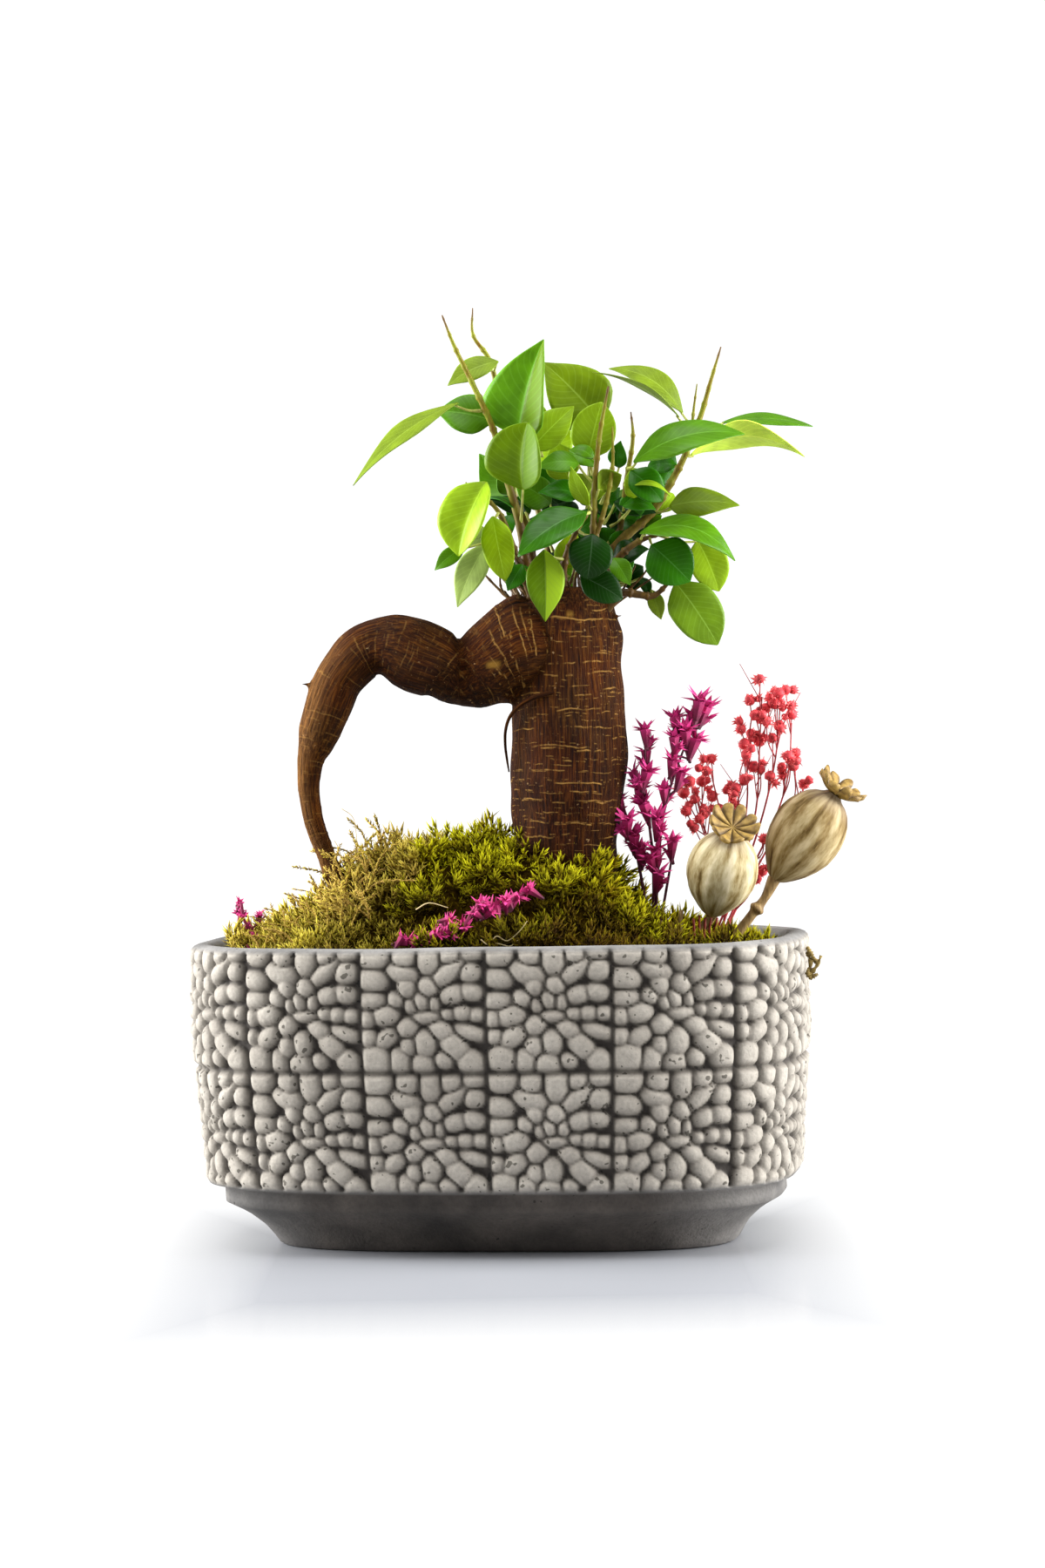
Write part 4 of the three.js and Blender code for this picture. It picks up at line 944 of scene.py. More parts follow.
# the leaves that fill the middle: pixels of the photograph for base and tip, depth, half width, tone and outline
coreLeaves = [
    (604, 587, 558, 574, 2, 3, "shadedDark", "long"), (655, 519, 685, 537, 3, 4, "mid", "ovate"),
    (711, 537, 713, 506, 8, 3.5, "deep", "ovate"), (778, 543, 744, 535, 10, 6.5, "deep", "round"),
    (731, 572, 726, 537, -2, 5, "lime", "round"), (733, 552, 754, 577, 6, 5, "olive", "round"),
    (705, 577, 753, 589, 4, 4, "shadedDark", "ovate"), (773, 567, 754, 590, 12, 3.5, "lime", "ovate"),
    (699, 552, 675, 586, -4, 2.6, "lime", "long"), (676, 570, 653, 543, 8, 4, "fresh", "ovate"),
    (562, 613, 532, 625, 4, 3.5, "greyish", "ovate"), (587, 591, 576, 628, 3, 3.5, "deep", "ovate"),
    (635, 567, 602, 537, 14, 6, "deep", "round"), (735, 663, 744, 687, 0, 2.2, "shadedDark", "ovate"),
    (683, 611, 661, 589, 10, 6, "shadedDark", "round"), (713, 604, 735, 585, 14, 5, "deep", "round"),
    (617, 656, 598, 674, -2, 3.5, "deep", "ovate"), (646, 633, 635, 664, 6, 4, "shadedDark", "ovate"),
    (706, 633, 724, 611, 8, 4, "deep", "round"), (587, 567, 572, 537, 16, 5, "mid", "ovate"),
    (617, 497, 609, 452, 6, 5.5, "lime", "ovate"), (668, 640, 660, 612, 12, 5, "shadedDark", "round"),
    (700, 660, 728, 640, 6, 4.4, "deep", "round"), (742, 612, 760, 592, 8, 4.4, "mid", "ovate"),
    (650, 590, 622, 566, 16, 6.5, "shadedDark", "round"), (700, 608, 722, 582, 17, 6.5, "shadedDark", "round"),
    (720, 622, 742, 602, 14, 5.5, "shadedDark", "round"), (690, 632, 712, 612, 15, 5.5, "deep", "round"),
    (630, 618, 608, 596, 12, 5.5, "shadedDark", "round"), (660, 648, 646, 622, 12, 5.5, "shadedDark", "round"),
    (716, 672, 738, 650, 8, 4.5, "shadedDark", "round"), (600, 600, 584, 572, 8, 5, "deep", "round"),
    (690, 575, 672, 548, 14, 6, "deep", "round"), (740, 590, 760, 566, 14, 5, "deep", "ovate"),
    (655, 600, 640, 580, 12, 5, "shadedDark", "round"), (690, 590, 712, 560, 12, 5, "deep", "ovate"),
]
blade = {"rows": 26, "columns": 14, "thickness": 0.00028, "cup": 0.16, "ripple": 0.05,
         "stalk": (0.625, 0.4, 0.35), "stalkSag": 0.08, "veins": 11, "veinSlant": 0.55, "veinWidth": 0.14,
         "ribWidth": 0.022, "coreFold": 14, "coreArch": 2}


def leafMaterial(tone, side):
    # veins and rim come from the blade's own unwrapping: across it, and along it from base to tip
    looks = leafTones[tone]
    material, tree, shader, coords = newMaterial("leaf" + tone.capitalize() + side.capitalize(),
                                                 Roughness=looks["rough"] + (0.2 if side == "under" else 0),
                                                 Specular_IOR_Level=0.1)
    across, along, _ = axesOf(tree, addNode(tree, "UVMap", uv_map="UVMap").outputs[0])
    off = offMiddle(tree, across)
    main = rgb(*looks[side])
    colour = ramp(tree, noiseOf(tree, coords, 160, 4), (0.3, tuple(v * 0.78 for v in main)),
                  (0.7, tuple(v * 1.2 for v in main)))
    # one half of a folded blade painted another green: painted shade on a darker half, painted light on a lighter one
    if side == "top" and "half" in looks:
        past = maths(tree, "MULTIPLY", maths(tree, "SUBTRACT", 0.5, across), 24 * looks["side"], clamp=True)
        colour = mixColours(tree, past, colour, rgb(*looks["half"]))
    slanted = maths(tree, "SUBTRACT", along, maths(tree, "MULTIPLY", off, blade["veinSlant"]))
    step = maths(tree, "FRACT", maths(tree, "MULTIPLY", slanted, blade["veins"]))
    vein, rib = lineAt(tree, offMiddle(tree, step), blade["veinWidth"]), lineAt(tree, off, blade["ribWidth"])
    pale = tuple(min(v * 1.7 + 0.03, 1) for v in main)
    for mask, strength in ((vein, 0.22), (rib, 0.75), (above(tree, off, 0.47, 30), 0.5)):
        colour = mixColours(tree, maths(tree, "MULTIPLY", mask, strength), colour, pale)
    paint(tree, shader, colour)
    return material


def leafMaterials():
    made = {(tone, side): leafMaterial(tone, side) for tone in leafTones for side in ("top", "under")}
    made["stalk"] = mottledMaterial("leafStalk", 300, 3, (122, 124, 46), (160, 168, 70), stops=(0.35, 0.65),
                                    Roughness=0.5)
    return made


def makeLeaf(name, leaf, number, materials):
    foot, base, tip, width, face, fold, arch, tone, outline = leaf
    foot, base, tip = fromPlant(foot), fromPlant(base), fromPlant(tip)
    face = (fromPlant(face) / mm).normalized()
    length = tip - base
    face = (face - length * face.dot(length) / length.length_squared).normalized()
    sideways = face.cross(length).normalized()
    deselectAll()
    bpy.ops.mesh.primitive_grid_add(x_subdivisions=blade["columns"], y_subdivisions=blade["rows"], size=2)
    piece = bpy.context.object
    piece.name = piece.data.name = name
    grid = coordinates(piece)
    across, share = -grid[:, 0], (grid[:, 1] + 1) / 2
    widths = leafOutlines[outline]
    half = np.interp(share, np.linspace(0, 1, len(widths)), widths) * width * mm
    lift = math.radians(fold)
    # the midrib bows towards the leaf's face, and the blade stands square to it
    bow = arch * mm * 4 * share * (1 - share)
    slope = arch * mm * 4 * (1 - 2 * share)
    along = unit(np.array(length)[None, :] + np.array(face)[None, :] * slope[:, None])
    side = np.array(sideways)
    up = np.cross(along, side)
    soft = np.sqrt(across ** 2 + 0.01) - 0.1
    rise = half * (soft * math.sin(lift) - blade["cup"] * across ** 2
                   + blade["ripple"] * np.sin(share * 8 + number * 1.9 + across * 2) * across ** 2)
    middle = np.array(base)[None, :] + np.array(length)[None, :] * share[:, None] + np.array(face) * bow[:, None]
    points = middle + side[None, :] * (across * half * math.cos(lift))[:, None] + up * rise[:, None]
    setCoordinates(piece, points)
    thick = piece.modifiers.new("thickness", "SOLIDIFY")
    thick.thickness = blade["thickness"]
    thick.offset = 0
    thick.material_offset = 1
    applyAll(piece)
    for side in ("top", "under"):
        piece.data.materials.append(materials[tone, side])
    start = base + length * 0.03
    bend = (foot + start) / 2 - Vector((0, 0, (start - foot).length * blade["stalkSag"]))
    stalk = tubes(name + "Stalk", [strandOf([foot, bend, start], blade["stalk"], 10, Vector)], 8)
    stalk.data.materials.append(materials["stalk"])
    piece = joined(name, [piece, stalk])
    piece.data.shade_smooth()
    return piece


def makeLeaves():
    materials = leafMaterials()
    for number, leaf in enumerate(leaves):
        piece = makeLeaf(f"leafBlade_{number + 1:02d}", leaf, number, materials)
        finishPiece(piece, "leaf", None, f"leaf_{number + 1:02d}")
    small = list(smallLeaves)
    turnBack = Matrix.Rotation(-plantTurn, 3, "Z")
    for number, (column, row, tipColumn, tipRow, depth, width, tone, outline) in enumerate(coreLeaves):
        base = turnBack @ fromPhoto(column, row, depth) / mm
        tip = turnBack @ fromPhoto(tipColumn, tipRow, depth - 3) / mm
        foot = base + (Vector((24, 3, 206)) - base).normalized() * 8
        face = (0.35 * math.sin(number * 2.1), -0.9, 0.3)
        small.append((foot, base, tip, width, face, blade["coreFold"], blade["coreArch"], tone, outline))
    for number, leaf in enumerate(small):
        finishPiece(makeLeaf(f"smallLeaf_{number + 1:02d}", leaf, number + 50, materials), "leaf", None)


# Moss: a dark lumpy bed, and small feathered shoots all over it

moss = {"edge": 88.4, "edgeHeight": 92, "middle": (4, 3), "reachLeft": 70, "reachRight": 46, "spread": 39,
        "rise": 38, "hummock": (-43, -9, 6, 13), "bedDrop": 6.5, "rings": 30, "columns": 120,
        "clumpGap": 11.5, "shootGap": 1.6, "shootLength": 7.8, "leaflets": 12, "strawFrom": -30,
        "sunk": 9.2, "swell": 5.5, "edgeLift": 4.5, "fan": 0.85, "trunk": (21.7, 3.4, 12.5)}
petalFaces = ((0, 2, 1), (0, 1, 3), (0, 3, 2), (4, 1, 2), (4, 3, 1), (4, 2, 3))  # a thin pointed solid


def mossTop(x, y):
    middleX, middleY = moss["middle"]
    reach = np.where(x < middleX, moss["reachLeft"], moss["reachRight"])
    away = np.abs((x - middleX) / reach) ** 3 + np.abs((y - middleY) / moss["spread"]) ** 3
    hx, hy, rise, size = moss["hummock"]
    return (moss["edgeHeight"] + moss["rise"] * np.exp(-away)
            + rise * np.exp(-(np.hypot(x - hx, y - hy) / size) ** 2))


def mossBed(name, edge, drop, bottom, lumps, seed):
    # a lumpy closed body under the moss: rings from the middle to the pot's wall, then down and back
    rings, columns = moss["rings"], moss["columns"]
    wallX, wallY = potPlan(np.full(columns, edge), np.linspace(-math.pi, math.pi, columns, endpoint=False))
    layers = []
    for share in np.linspace(0, 1, rings + 1)[1:]:
        x, y = wallX * share, wallY * share
        layers.append(pointRows(x, y, mossTop(x, y) - drop))
    layers += [pointRows(wallX * share, wallY * share, bottom) for share in (0.985, 0.5)]
    points = np.concatenate(layers)
    top = np.arange(len(points)) < rings * columns
    points[:, 2] += np.where(top, lumps * ripple(points, 7, seed, 12), 0)
    points = np.concatenate([points, [[0, 0, mossTop(np.array(0.0), np.array(0.0)) - drop], [0, 0, bottom]]])
    faces = ringFaces(len(layers), columns)
    last = (len(layers) - 1) * columns
    for i in range(columns):
        j = (i + 1) % columns
        faces += [(len(points) - 2, j, i), (len(points) - 1, last + i, last + j)]
    piece = meshPiece(name, points * mm, faces)
    closeSkin(piece)
    return piece


def featherPiece(name, roots, directions, lengths, tints, seed, leaflets, width=0.11, spread=1.0):
    # many small shoots in one mesh, each a whorl of thin pointed leaflets up a stem; arrays run over shoots,
    # leaflets and then x, y, z
    dice = np.random.default_rng(seed)
    shape = (len(roots), leaflets)
    step = np.arange(leaflets)
    ahead = unit(directions)
    side = unit(np.cross(ahead, np.where(np.abs(ahead[:, 2:]) > 0.9, [[1.0, 0, 0]], [[0, 0, 1.0]])))
    ahead, side, deep = (rows[:, None, :] for rows in (ahead, side, np.cross(ahead, side)))
    share = np.tile(step / leaflets, (len(roots), 1)) * 0.86 + 0.05
    turn = step[None, :] * 2.4 + dice.uniform(0, 6.3, (len(roots), 1)) + dice.normal(0, 0.25, shape)
    tilt = (1.15 - 0.95 * share) * spread + dice.normal(0, 0.14, shape)
    size = lengths[:, None] * (0.52 - 0.2 * share) * dice.uniform(0.75, 1.2, shape)
    turn, tilt, long = turn[..., None], tilt[..., None], size[..., None]
    around = side * np.cos(turn) + deep * np.sin(turn)
    edge = np.cross(ahead, around)
    out = around * np.sin(tilt) + ahead * np.cos(tilt)
    back = np.cross(out, edge)
    start = roots[:, None, :] + ahead * (lengths[:, None] * share)[..., None]
    wide = (lengths[:, None] * width)[..., None]
    belly = start + out * long * 0.3
    corners = np.stack([start, belly + edge * wide * 0.5, belly - edge * wide * 0.5, belly + back * wide * 0.35,
                        start + out * long + ahead * long * 0.12], axis=2)
    points = corners.reshape(-1, 3)
    block = np.arange(share.size)[:, None, None] * 5
    faces = (np.array(petalFaces)[None] + block).reshape(-1, 3)
    mesh = bpy.data.meshes.new(name)
    mesh.vertices.add(len(points))
    mesh.vertices.foreach_set("co", (points * mm).ravel())
    mesh.loops.add(faces.size)
    mesh.loops.foreach_set("vertex_index", faces.ravel())
    mesh.polygons.add(len(faces))
    mesh.polygons.foreach_set("loop_start", np.arange(0, faces.size, 3))
    mesh.update(calc_edges=True)
    mesh.validate()
    piece = inScene(name, mesh)
    # tip rises from each leaflet's foot to its point and up the shoot; the moss is painted darker low down, partly
    # painted shade deep in the moss and partly the shoots' own browner feet
    tip = np.tile([0, 0.3, 0.3, 0.3, 1.0], share.size) * 0.6 + np.repeat(share.ravel(), 5) * 0.5
    setAttribute(piece, "tip", np.clip(tip, 0, 1))
    setAttribute(piece, "tint", np.repeat(tints, leaflets * 5))
    return piece


def mossMaterial(name, dark, middle, bright, straw):
    material, tree, shader, _ = newMaterial(
        name, Roughness=0.75, Specular_IOR_Level=0.05, Subsurface_Weight=0.1, Subsurface_Radius=(0.5, 0.6, 0.1),
        Subsurface_Scale=0.001)
    tip, straw = attributeOf(tree, "tip"), rgb(*straw)
    # dark at the shoots' feet, bright at their tips: painted shade deep in the moss along with the shoots' own
    # browner feet
    colour = ramp(tree, tip, (0.0, rgb(*dark)), (0.45, rgb(*middle)), (1.0, rgb(*bright)))
    dry = ramp(tree, tip, (0.0, tuple(v * 0.6 for v in straw)), (1.0, tuple(v * 1.25 for v in straw)))
    colour = mixColours(tree, attributeOf(tree, "tint"), colour, dry)
    # darkened by the shoots' mask of painted shade and random darker patches
    paint(tree, shader, darkened(tree, colour, "dim", (0.15, 0.1, 0.06)))
    return material


def scattered(dice, halfLength, halfDepth, gap, looseness):
    # places about one gap apart all over an oblong, each moved at random
    rows = np.meshgrid(np.arange(-halfLength, halfLength, gap), np.arange(-halfDepth, halfDepth, gap))
    return [row.ravel() + dice.uniform(-looseness, looseness, row.size) * gap for row in rows]


def awayFromMiddle(x, y):
    # 0 in the pot's middle and 1 at the moss's edge
    rimX, rimY = potPlan(np.full(721, moss["edge"] - 0.3), np.linspace(-math.pi, math.pi, 721))
    direction = np.arctan2(rimY, rimX)
    order = np.argsort(direction)
    return np.hypot(x, y) / np.interp(np.arctan2(y, x), direction[order], np.hypot(rimX, rimY)[order])


def mossPlaces(dice):
    # where shoots stand, with the slope there: more of them on steep parts, none where the trunk stands
    x, y = scattered(dice, 89, 54, moss["shootGap"] * (1), 1)
    inside = awayFromMiddle(x, y) < 1
    x, y = x[inside], y[inside]
    slopeX = (mossTop(x + 1, y) - mossTop(x - 1, y)) / 2
    slopeY = (mossTop(x, y + 1) - mossTop(x, y - 1)) / 2
    keep = dice.uniform(0, 1, x.size) < np.sqrt(1 + slopeX ** 2 + slopeY ** 2) / 2
    trunkX, trunkY, clear = moss["trunk"]
    keep &= np.hypot(x - trunkX, y - trunkY) > clear
    return x[keep], y[keep], slopeX[keep], slopeY[keep]


def makeBeds():
    soil = mottledMaterial("darkSoil", 500, 4, (34, 24, 12), (74, 54, 30), (0.8, 0.001), Roughness=0.95,
                           Specular_IOR_Level=0.05)
    finishPiece(mossBed("soilBody", moss["edge"] - 2.4, 8, 40, 0.3, 3), "soil", soil, "soil")
    under = mottledMaterial("mossShade", 600, 4, (26, 18, 2), (56, 44, 6), (1.0, 0.0015), stops=(0.35, 0.7),
                            Roughness=0.95, Specular_IOR_Level=0.02)
    finishPiece(mossBed("mossBed", moss["edge"], moss["bedDrop"], 80, 0.9, 4), "moss_green", under, "moss_mound")


def growMoss():
    dice = np.random.default_rng(20)
    x, y, slopeX, slopeY = mossPlaces(dice)
    # the shoots stand in clumps, fanning out from each clump's middle
    spacing = moss["clumpGap"]
    clumpX, clumpY = scattered(dice, 92, 58, spacing, 0.38)
    clumpTint, clumpLift = dice.uniform(0, 1, clumpX.size), dice.uniform(0, 1, clumpX.size) ** 0.7
    away = np.hypot(x[:, None] - clumpX[None, :], y[:, None] - clumpY[None, :])
    clump = away.argmin(axis=1)
    normal = unit(pointRows(-slopeX, -slopeY, 1))
    outward = pointRows(x - clumpX[clump], y - clumpY[clump], 0) / (spacing / 2)
    swell = np.clip(1 - (away.min(axis=1) / (spacing * 0.62)) ** 2, 0, 1) * clumpLift[clump]
    height = mossTop(x, y)
    edgeLift = moss["edgeLift"] * ease(awayFromMiddle(x, y), 0.8, 0.2)
    roots = pointRows(x, y, height + edgeLift) + normal * (swell * moss["swell"] - moss["sunk"])[:, None]
    directions = normal + outward * moss["fan"] + np.array([0, 0, 0.35]) + dice.normal(0, 0.28, (x.size, 3))
    lengths = moss["shootLength"] * dice.uniform(0.75, 1.25, x.size) * (0.75 + 0.45 * swell)

    # tint turns a shoot to straw; a second mask darkens it: painted shade at the front below the rim and in the
    # hollows between clumps, and darker towards the right and in random patches
    straw = x < moss["strawFrom"] + (height - 96.8) * 0.25
    flat = pointRows(x, y, 0)
    tint = 0.28 * ripple(flat, 26, 9, 8) + 0.5 * (clumpTint[clump] - 0.55) + dice.normal(0, 0.1, x.size)
    tint = np.clip(tint, 0, 0.75)
    tint = np.where(straw, np.clip(tint + 0.15, 0, 1), tint)
    dim = (ease(y, -20, -16) * (x > -52) + 0.34 * ease(x, 24, 10) + 0.5 * (0.65 - swell)
           + 0.4 * ripple(flat, 15, 19, 9))
    dim = np.clip(dim, 0, 1) * np.where(straw, 0.7, 1)
    return (roots, directions, lengths, tint), dim, straw, y < 0


def makeMoss():
    makeBeds()
    growth, dim, straw, front = growMoss()
    green = mossMaterial("mossGreen", (22, 15, 0), (102, 90, 1), (198, 196, 30), (150, 106, 12))
    dry = mossMaterial("mossStraw", (66, 48, 2), (130, 114, 16), (190, 178, 66), (176, 144, 78))
    for name, part, slotName, material, nodes in (
            ("mossFront", ~straw & front, "moss_green", green, ()),
            ("mossBack", ~straw & ~front, "moss_green", green, ()),
            ("mossStrawTufts", straw, "moss_straw", dry, ("moss_left_clump",))):
        piece = featherPiece(name, *(values[part] for values in growth), 31, moss["leaflets"])
        setAttribute(piece, "dim", np.repeat(dim[part], moss["leaflets"] * 5))
        finishPiece(piece, slotName, material, *nodes, smooth=False)
        print(name, int(part.sum()), "shoots")
    makeStrands(dry)


strandMarks = [  # pixels of the photograph
    [(392, 1075), (396, 1020), (408, 985), (428, 960)], [(380, 1080), (386, 1030), (383, 995), (390, 972)],
    [(400, 1080), (415, 1020), (425, 985), (441, 956)], [(370, 1085), (366, 1050), (372, 1010), (381, 985)],
    [(350, 1085), (340, 1060), (324, 1044)], [(365, 1085), (352, 1050), (337, 1028)],
    [(330, 1087), (318, 1068), (303, 1048)], [(410, 1085), (432, 1040), (440, 1000), (452, 970)],
    [(388, 1080), (404, 1030), (422, 1005), (440, 998)], [(360, 1085), (372, 1045), (396, 1012), (414, 1000)],
    [(345, 1087), (356, 1062), (352, 1035)], [(420, 1070), (424, 1020), (416, 990), (404, 978)],
]


def makeStrands(material):
    # longer, straw-coloured strands beside the root, each with small leaflets all along
    dice = np.random.default_rng(77)
    feathers, stems = [], []  # a feather has its root, direction, length and tint
    for _ in range(64):
        x, y = dice.uniform(-74, -36), dice.uniform(-36, 12)
        base = Vector((x, y, float(mossTop(np.array(x), np.array(y))) - 3))
        reach = dice.uniform(8, 15) * (1.25 if -58 < x < -34 else 0.8)
        lean = Vector((dice.normal(-0.25, 0.55), dice.normal(-0.15, 0.4), 1)).normalized()
        droop = Vector((lean.x, lean.y, 0)) * reach * 0.35 - Vector((0, 0, reach * 0.22))
        line = smoothLine([base, base + lean * reach * 0.5, base + lean * reach + droop], 6)
        stems.append([(p * mm, (0.28 - 0.025 * k) * mm) for k, p in enumerate(line)])
        tone = dice.uniform(0.2, 1)
        feathers += [(here, after - here, reach * 0.2, tone) for here, after in zip(line, line[1:])]
    for number, marks in enumerate(strandMarks):
        line = smoothLine([fromPhoto(c, r, -10 + 2 * (number % 4)) / mm for c, r in marks], 9)
        stems.append([(p * mm, (0.4 - 0.03 * k) * mm) for k, p in enumerate(line)])
        feathers += [(here, after - here, (after - here).length * 1.5, 0.35 + 0.3 * (number % 3))
                     for here, after in zip(line, line[1:])]
    piece = featherPiece("strawLeaflets", *(np.array(column) for column in zip(*feathers)), 5, 7, width=0.22,
                         spread=0.9)
    setAttribute(piece, "dim", 0)
    finishPiece(piece, "moss_straw", material, smooth=False)
    piece = tubes("strawStems", stems, 6)
    for name, value in (("tip", 0.6), ("tint", 0.8), ("dim", 0)):
        setAttribute(piece, name, value)
    finishPiece(piece, "moss_straw", material)


# Dried poppies

poppies = [
    {"foot": (67.2, -14, 102.5), "lean": 0.23, "turn": 0.25, "wide": 1, "long": 1.06, "crownTilt": 0.5,
     "stem": [(61, -14, 78), (61.3, -14, 92), (63, -14, 97), (66.9, -14, 102), (67.4, -14.2, 104)],
     "radii": [1.2, 1.2, 1.25, 1.6, 2.4], "knot": None, "dark": 0.35, "brown": 0.4},
    {"foot": (88, -2, 113), "lean": 0.63, "turn": 0.05, "wide": 1.04, "long": 1.25, "crownTilt": 0.12,
     "stem": [(70, -3, 76), (75.7, -2, 95), (80, -2, 101), (85, -2, 107.3), (88.3, -2, 113.6)],
     "radii": [1.6, 1.6, 1.5, 1.35, 2.2], "knot": 0.62, "dark": 0.9, "brown": 1.0},
]
capsule = {"profile": [(0, 0), (1.6, 0.2), (3.4, 1.2), (5.5, 3), (7.8, 5.4), (9.6, 8), (10.9, 11), (11.4, 14),
                       (11.3, 16.8), (10.6, 19.5), (9.3, 22), (7.6, 24), (5.6, 25.4), (4, 26), (3.1, 26.5),
                       (2.6, 27), (0, 27.1)],
           "rows": 46, "columns": 90, "ribs": 10, "ribDepth": 0.03, "belly": 11.4, "height": 28,
           "crownRadius": 8.1, "crownHeight": 27.6, "rays": 10, "crownRings": 9, "crownColumns": 120}


def capsuleMaterial():
    material, tree, shader, _ = newMaterial("poppyCapsule", Roughness=0.72, Specular_IOR_Level=0.2)
    streak = noiseOf(tree, attributeOf(tree, "streak", "Vector"), 1, 4, 0.6)
    band = maths(tree, "MULTIPLY_ADD", attributeOf(tree, "rib"), 0.2, maths(tree, "MULTIPLY", streak, 1.25))
    colour = ramp(tree, band, (0.46, rgb(86, 68, 30)), (0.6, rgb(136, 118, 76)), (0.76, rgb(176, 164, 126)),
                  (0.95, rgb(212, 202, 170)))
    colour = darkened(tree, colour, "brown", (0.74, 0.66, 0.56))
    top = above(tree, attributeOf(tree, "level"), 0.78, 4)
    paint(tree, shader, mixColours(tree, maths(tree, "MULTIPLY", top, 0.55), colour, rgb(150, 136, 128)))
    bumpFrom(tree, shader, streak, 0.4, 0.0006)
    return material


def crownMaterial():
    material, tree, shader, coords = newMaterial("poppyCrown", Roughness=0.65)
    straw = ramp(tree, noiseOf(tree, coords, 500, 3), (0.3, rgb(98, 72, 22)), (0.7, rgb(160, 130, 60)))
    paint(tree, shader, mixColours(tree, attributeOf(tree, "groove"), straw, rgb(62, 42, 14)))
    return material


def makeCapsule(number, poppy, place, material):
    radii, heights = zip(*capsule["profile"])
    steps, marks = np.linspace(0, len(radii) - 1, capsule["rows"]), np.arange(len(radii))
    piece = turned(f"poppyCapsule_{number}", zip(np.interp(steps, marks, radii), np.interp(steps, marks, heights)),
                   capsule["columns"])
    closeSkin(piece, 0.0005)
    where = coordinates(piece)
    turn, height = np.arctan2(where[:, 1], where[:, 0]) + 0.1 * number, where[:, 2]
    ridge = np.abs(np.cos(capsule["ribs"] * turn / 2 + 0.2 * np.sin(height * 0.2)))
    belly = np.clip(np.hypot(where[:, 0], where[:, 1]) / capsule["belly"], 0, 1)
    sink = 1 - capsule["ribDepth"] * (1 - ridge ** 1.6) * belly - 0.012 * ripple(where, 6, 40 + number)
    where = where * pointRows(sink, sink, 1)
    setAttribute(piece, "rib", ridge - poppy["dark"] * 0.5 + 0.2)
    setAttribute(piece, "level", height / capsule["height"])
    setAttribute(piece, "brown", poppy["brown"])
    setAttribute(piece, "streak", pointRows(np.cos(turn) * 3.2, np.sin(turn) * 3.2, height * 0.11 + number))
    setCoordinates(piece, np.array([place @ Vector(p) for p in where]))
    finishPiece(piece, "poppy_capsule", material, f"poppy_head_{number}")


def makeCrown(number, poppy, place, material):
    # a rayed lid, thin and hollow underneath: rings out over its top, then back in below it
    rings, columns = capsule["crownRings"], capsule["crownColumns"]
    angle = np.linspace(0, 2 * math.pi, columns, endpoint=False)
    wave = np.abs(np.cos(capsule["rays"] * angle / 2))
    reach = capsule["crownRadius"] * (0.8 + 0.2 * wave ** 0.5) * (1 + 0.05 * np.sin(3 * angle + number))
    trough = np.exp(-(wave / 0.42) ** 2)
    layers, grooves = [], []
    rows = [(share, True) for share in np.linspace(0.01, 1, rings)]
    rows += [(share, False) for share in np.linspace(1, 0.3, rings)]
    for share, isTop in rows:
        lift = 1.9 * share ** 2.2 + 1.2 * wave ** 0.5 * share ** 0.6 - 0.3 * share
        lift = lift + 0.5 * share * np.sin(5 * angle + number) * share
        height = lift + (0.9 - 0.6 * trough * share ** 0.5 if isTop else -0.6)
        layers.append(pointRows(reach * share * np.cos(angle), reach * share * np.sin(angle), height))
        grooves.append(trough * (0.95 if isTop else 0))
    points = np.concatenate(layers)
    faces = ringFaces(len(rows), columns)
    faces += [tuple(range(columns)), tuple(range((len(rows) - 1) * columns, len(rows) * columns))]
    tilt = Matrix.Translation((0, 0, capsule["crownHeight"])) @ Matrix.Rotation(poppy["crownTilt"], 4, "X")
    piece = meshPiece(f"poppyCrown_{number}", [place @ tilt @ Vector(p) for p in points], faces)
    setAttribute(piece, "groove", np.clip(np.concatenate(grooves), 0, 1))
    closeSkin(piece, 0.000001)
    finishPiece(piece, "poppy_capsule", material)


def makePoppies():
    capsuleSkin, crownSkin = capsuleMaterial(), crownMaterial()
    stemSkin = mottledMaterial("poppyStem", 1, 4, (92, 66, 30), (160, 132, 82), (0.5, 0.0005),
                               stretch=(900, 900, 200), Roughness=0.7)
    for number, poppy in enumerate(poppies, 1):
        place = (Matrix.Rotation(plantTurn, 4, "Z") @ Matrix.Scale(mm, 4) @ Matrix.Translation(poppy["foot"])
                 @ Matrix.Rotation(poppy["turn"], 4, "X") @ Matrix.Rotation(poppy["lean"], 4, "Y")
                 @ Matrix.Diagonal((poppy["wide"], poppy["wide"], poppy["long"], 1)))
        makeCapsule(number, poppy, place, capsuleSkin)
        makeCrown(number, poppy, place, crownSkin)
        strand = strandOf(poppy["stem"], poppy["radii"], 60)
        if poppy["knot"]:
            strand = [(p, r * (1 + 0.75 * math.exp(-((k / 60 - poppy["knot"]) / 0.035) ** 2)))
                      for k, (p, r) in enumerate(strand)]
        finishPiece(tubes(f"poppyStalk_{number}", [strand], 14), "poppy_stem", stemSkin, f"poppy_stem_{number}")
    stick = strandOf([(57.5, -14, 88), (57.2, -14, 97), (57.6, -14, 104.5)], [0.9, 0.85, 0.7], 10)
    finishPiece(tubes("poppyStick", [stick], 8), "poppy_stem", stemSkin)
    red = [strandOf([(61 + k * 1.4, -15, 86), (61.6 + k * 1.5, -15, 95), (61.4 + k * 1.9, -15.4, 102 + k % 2)],
                    [0.55, 0.5, 0.4], 8) for k in range(5)]
    redSkin = newMaterial("redStems", Roughness=0.6, Base_Color=(*rgb(124, 34, 22), 1))[0]
    finishPiece(tubes("redStems", red, 8), "dried_coral", redSkin)


# Dried sprigs; the marks are pixels of the photograph, each with its depth in millimetres behind the plant's middle

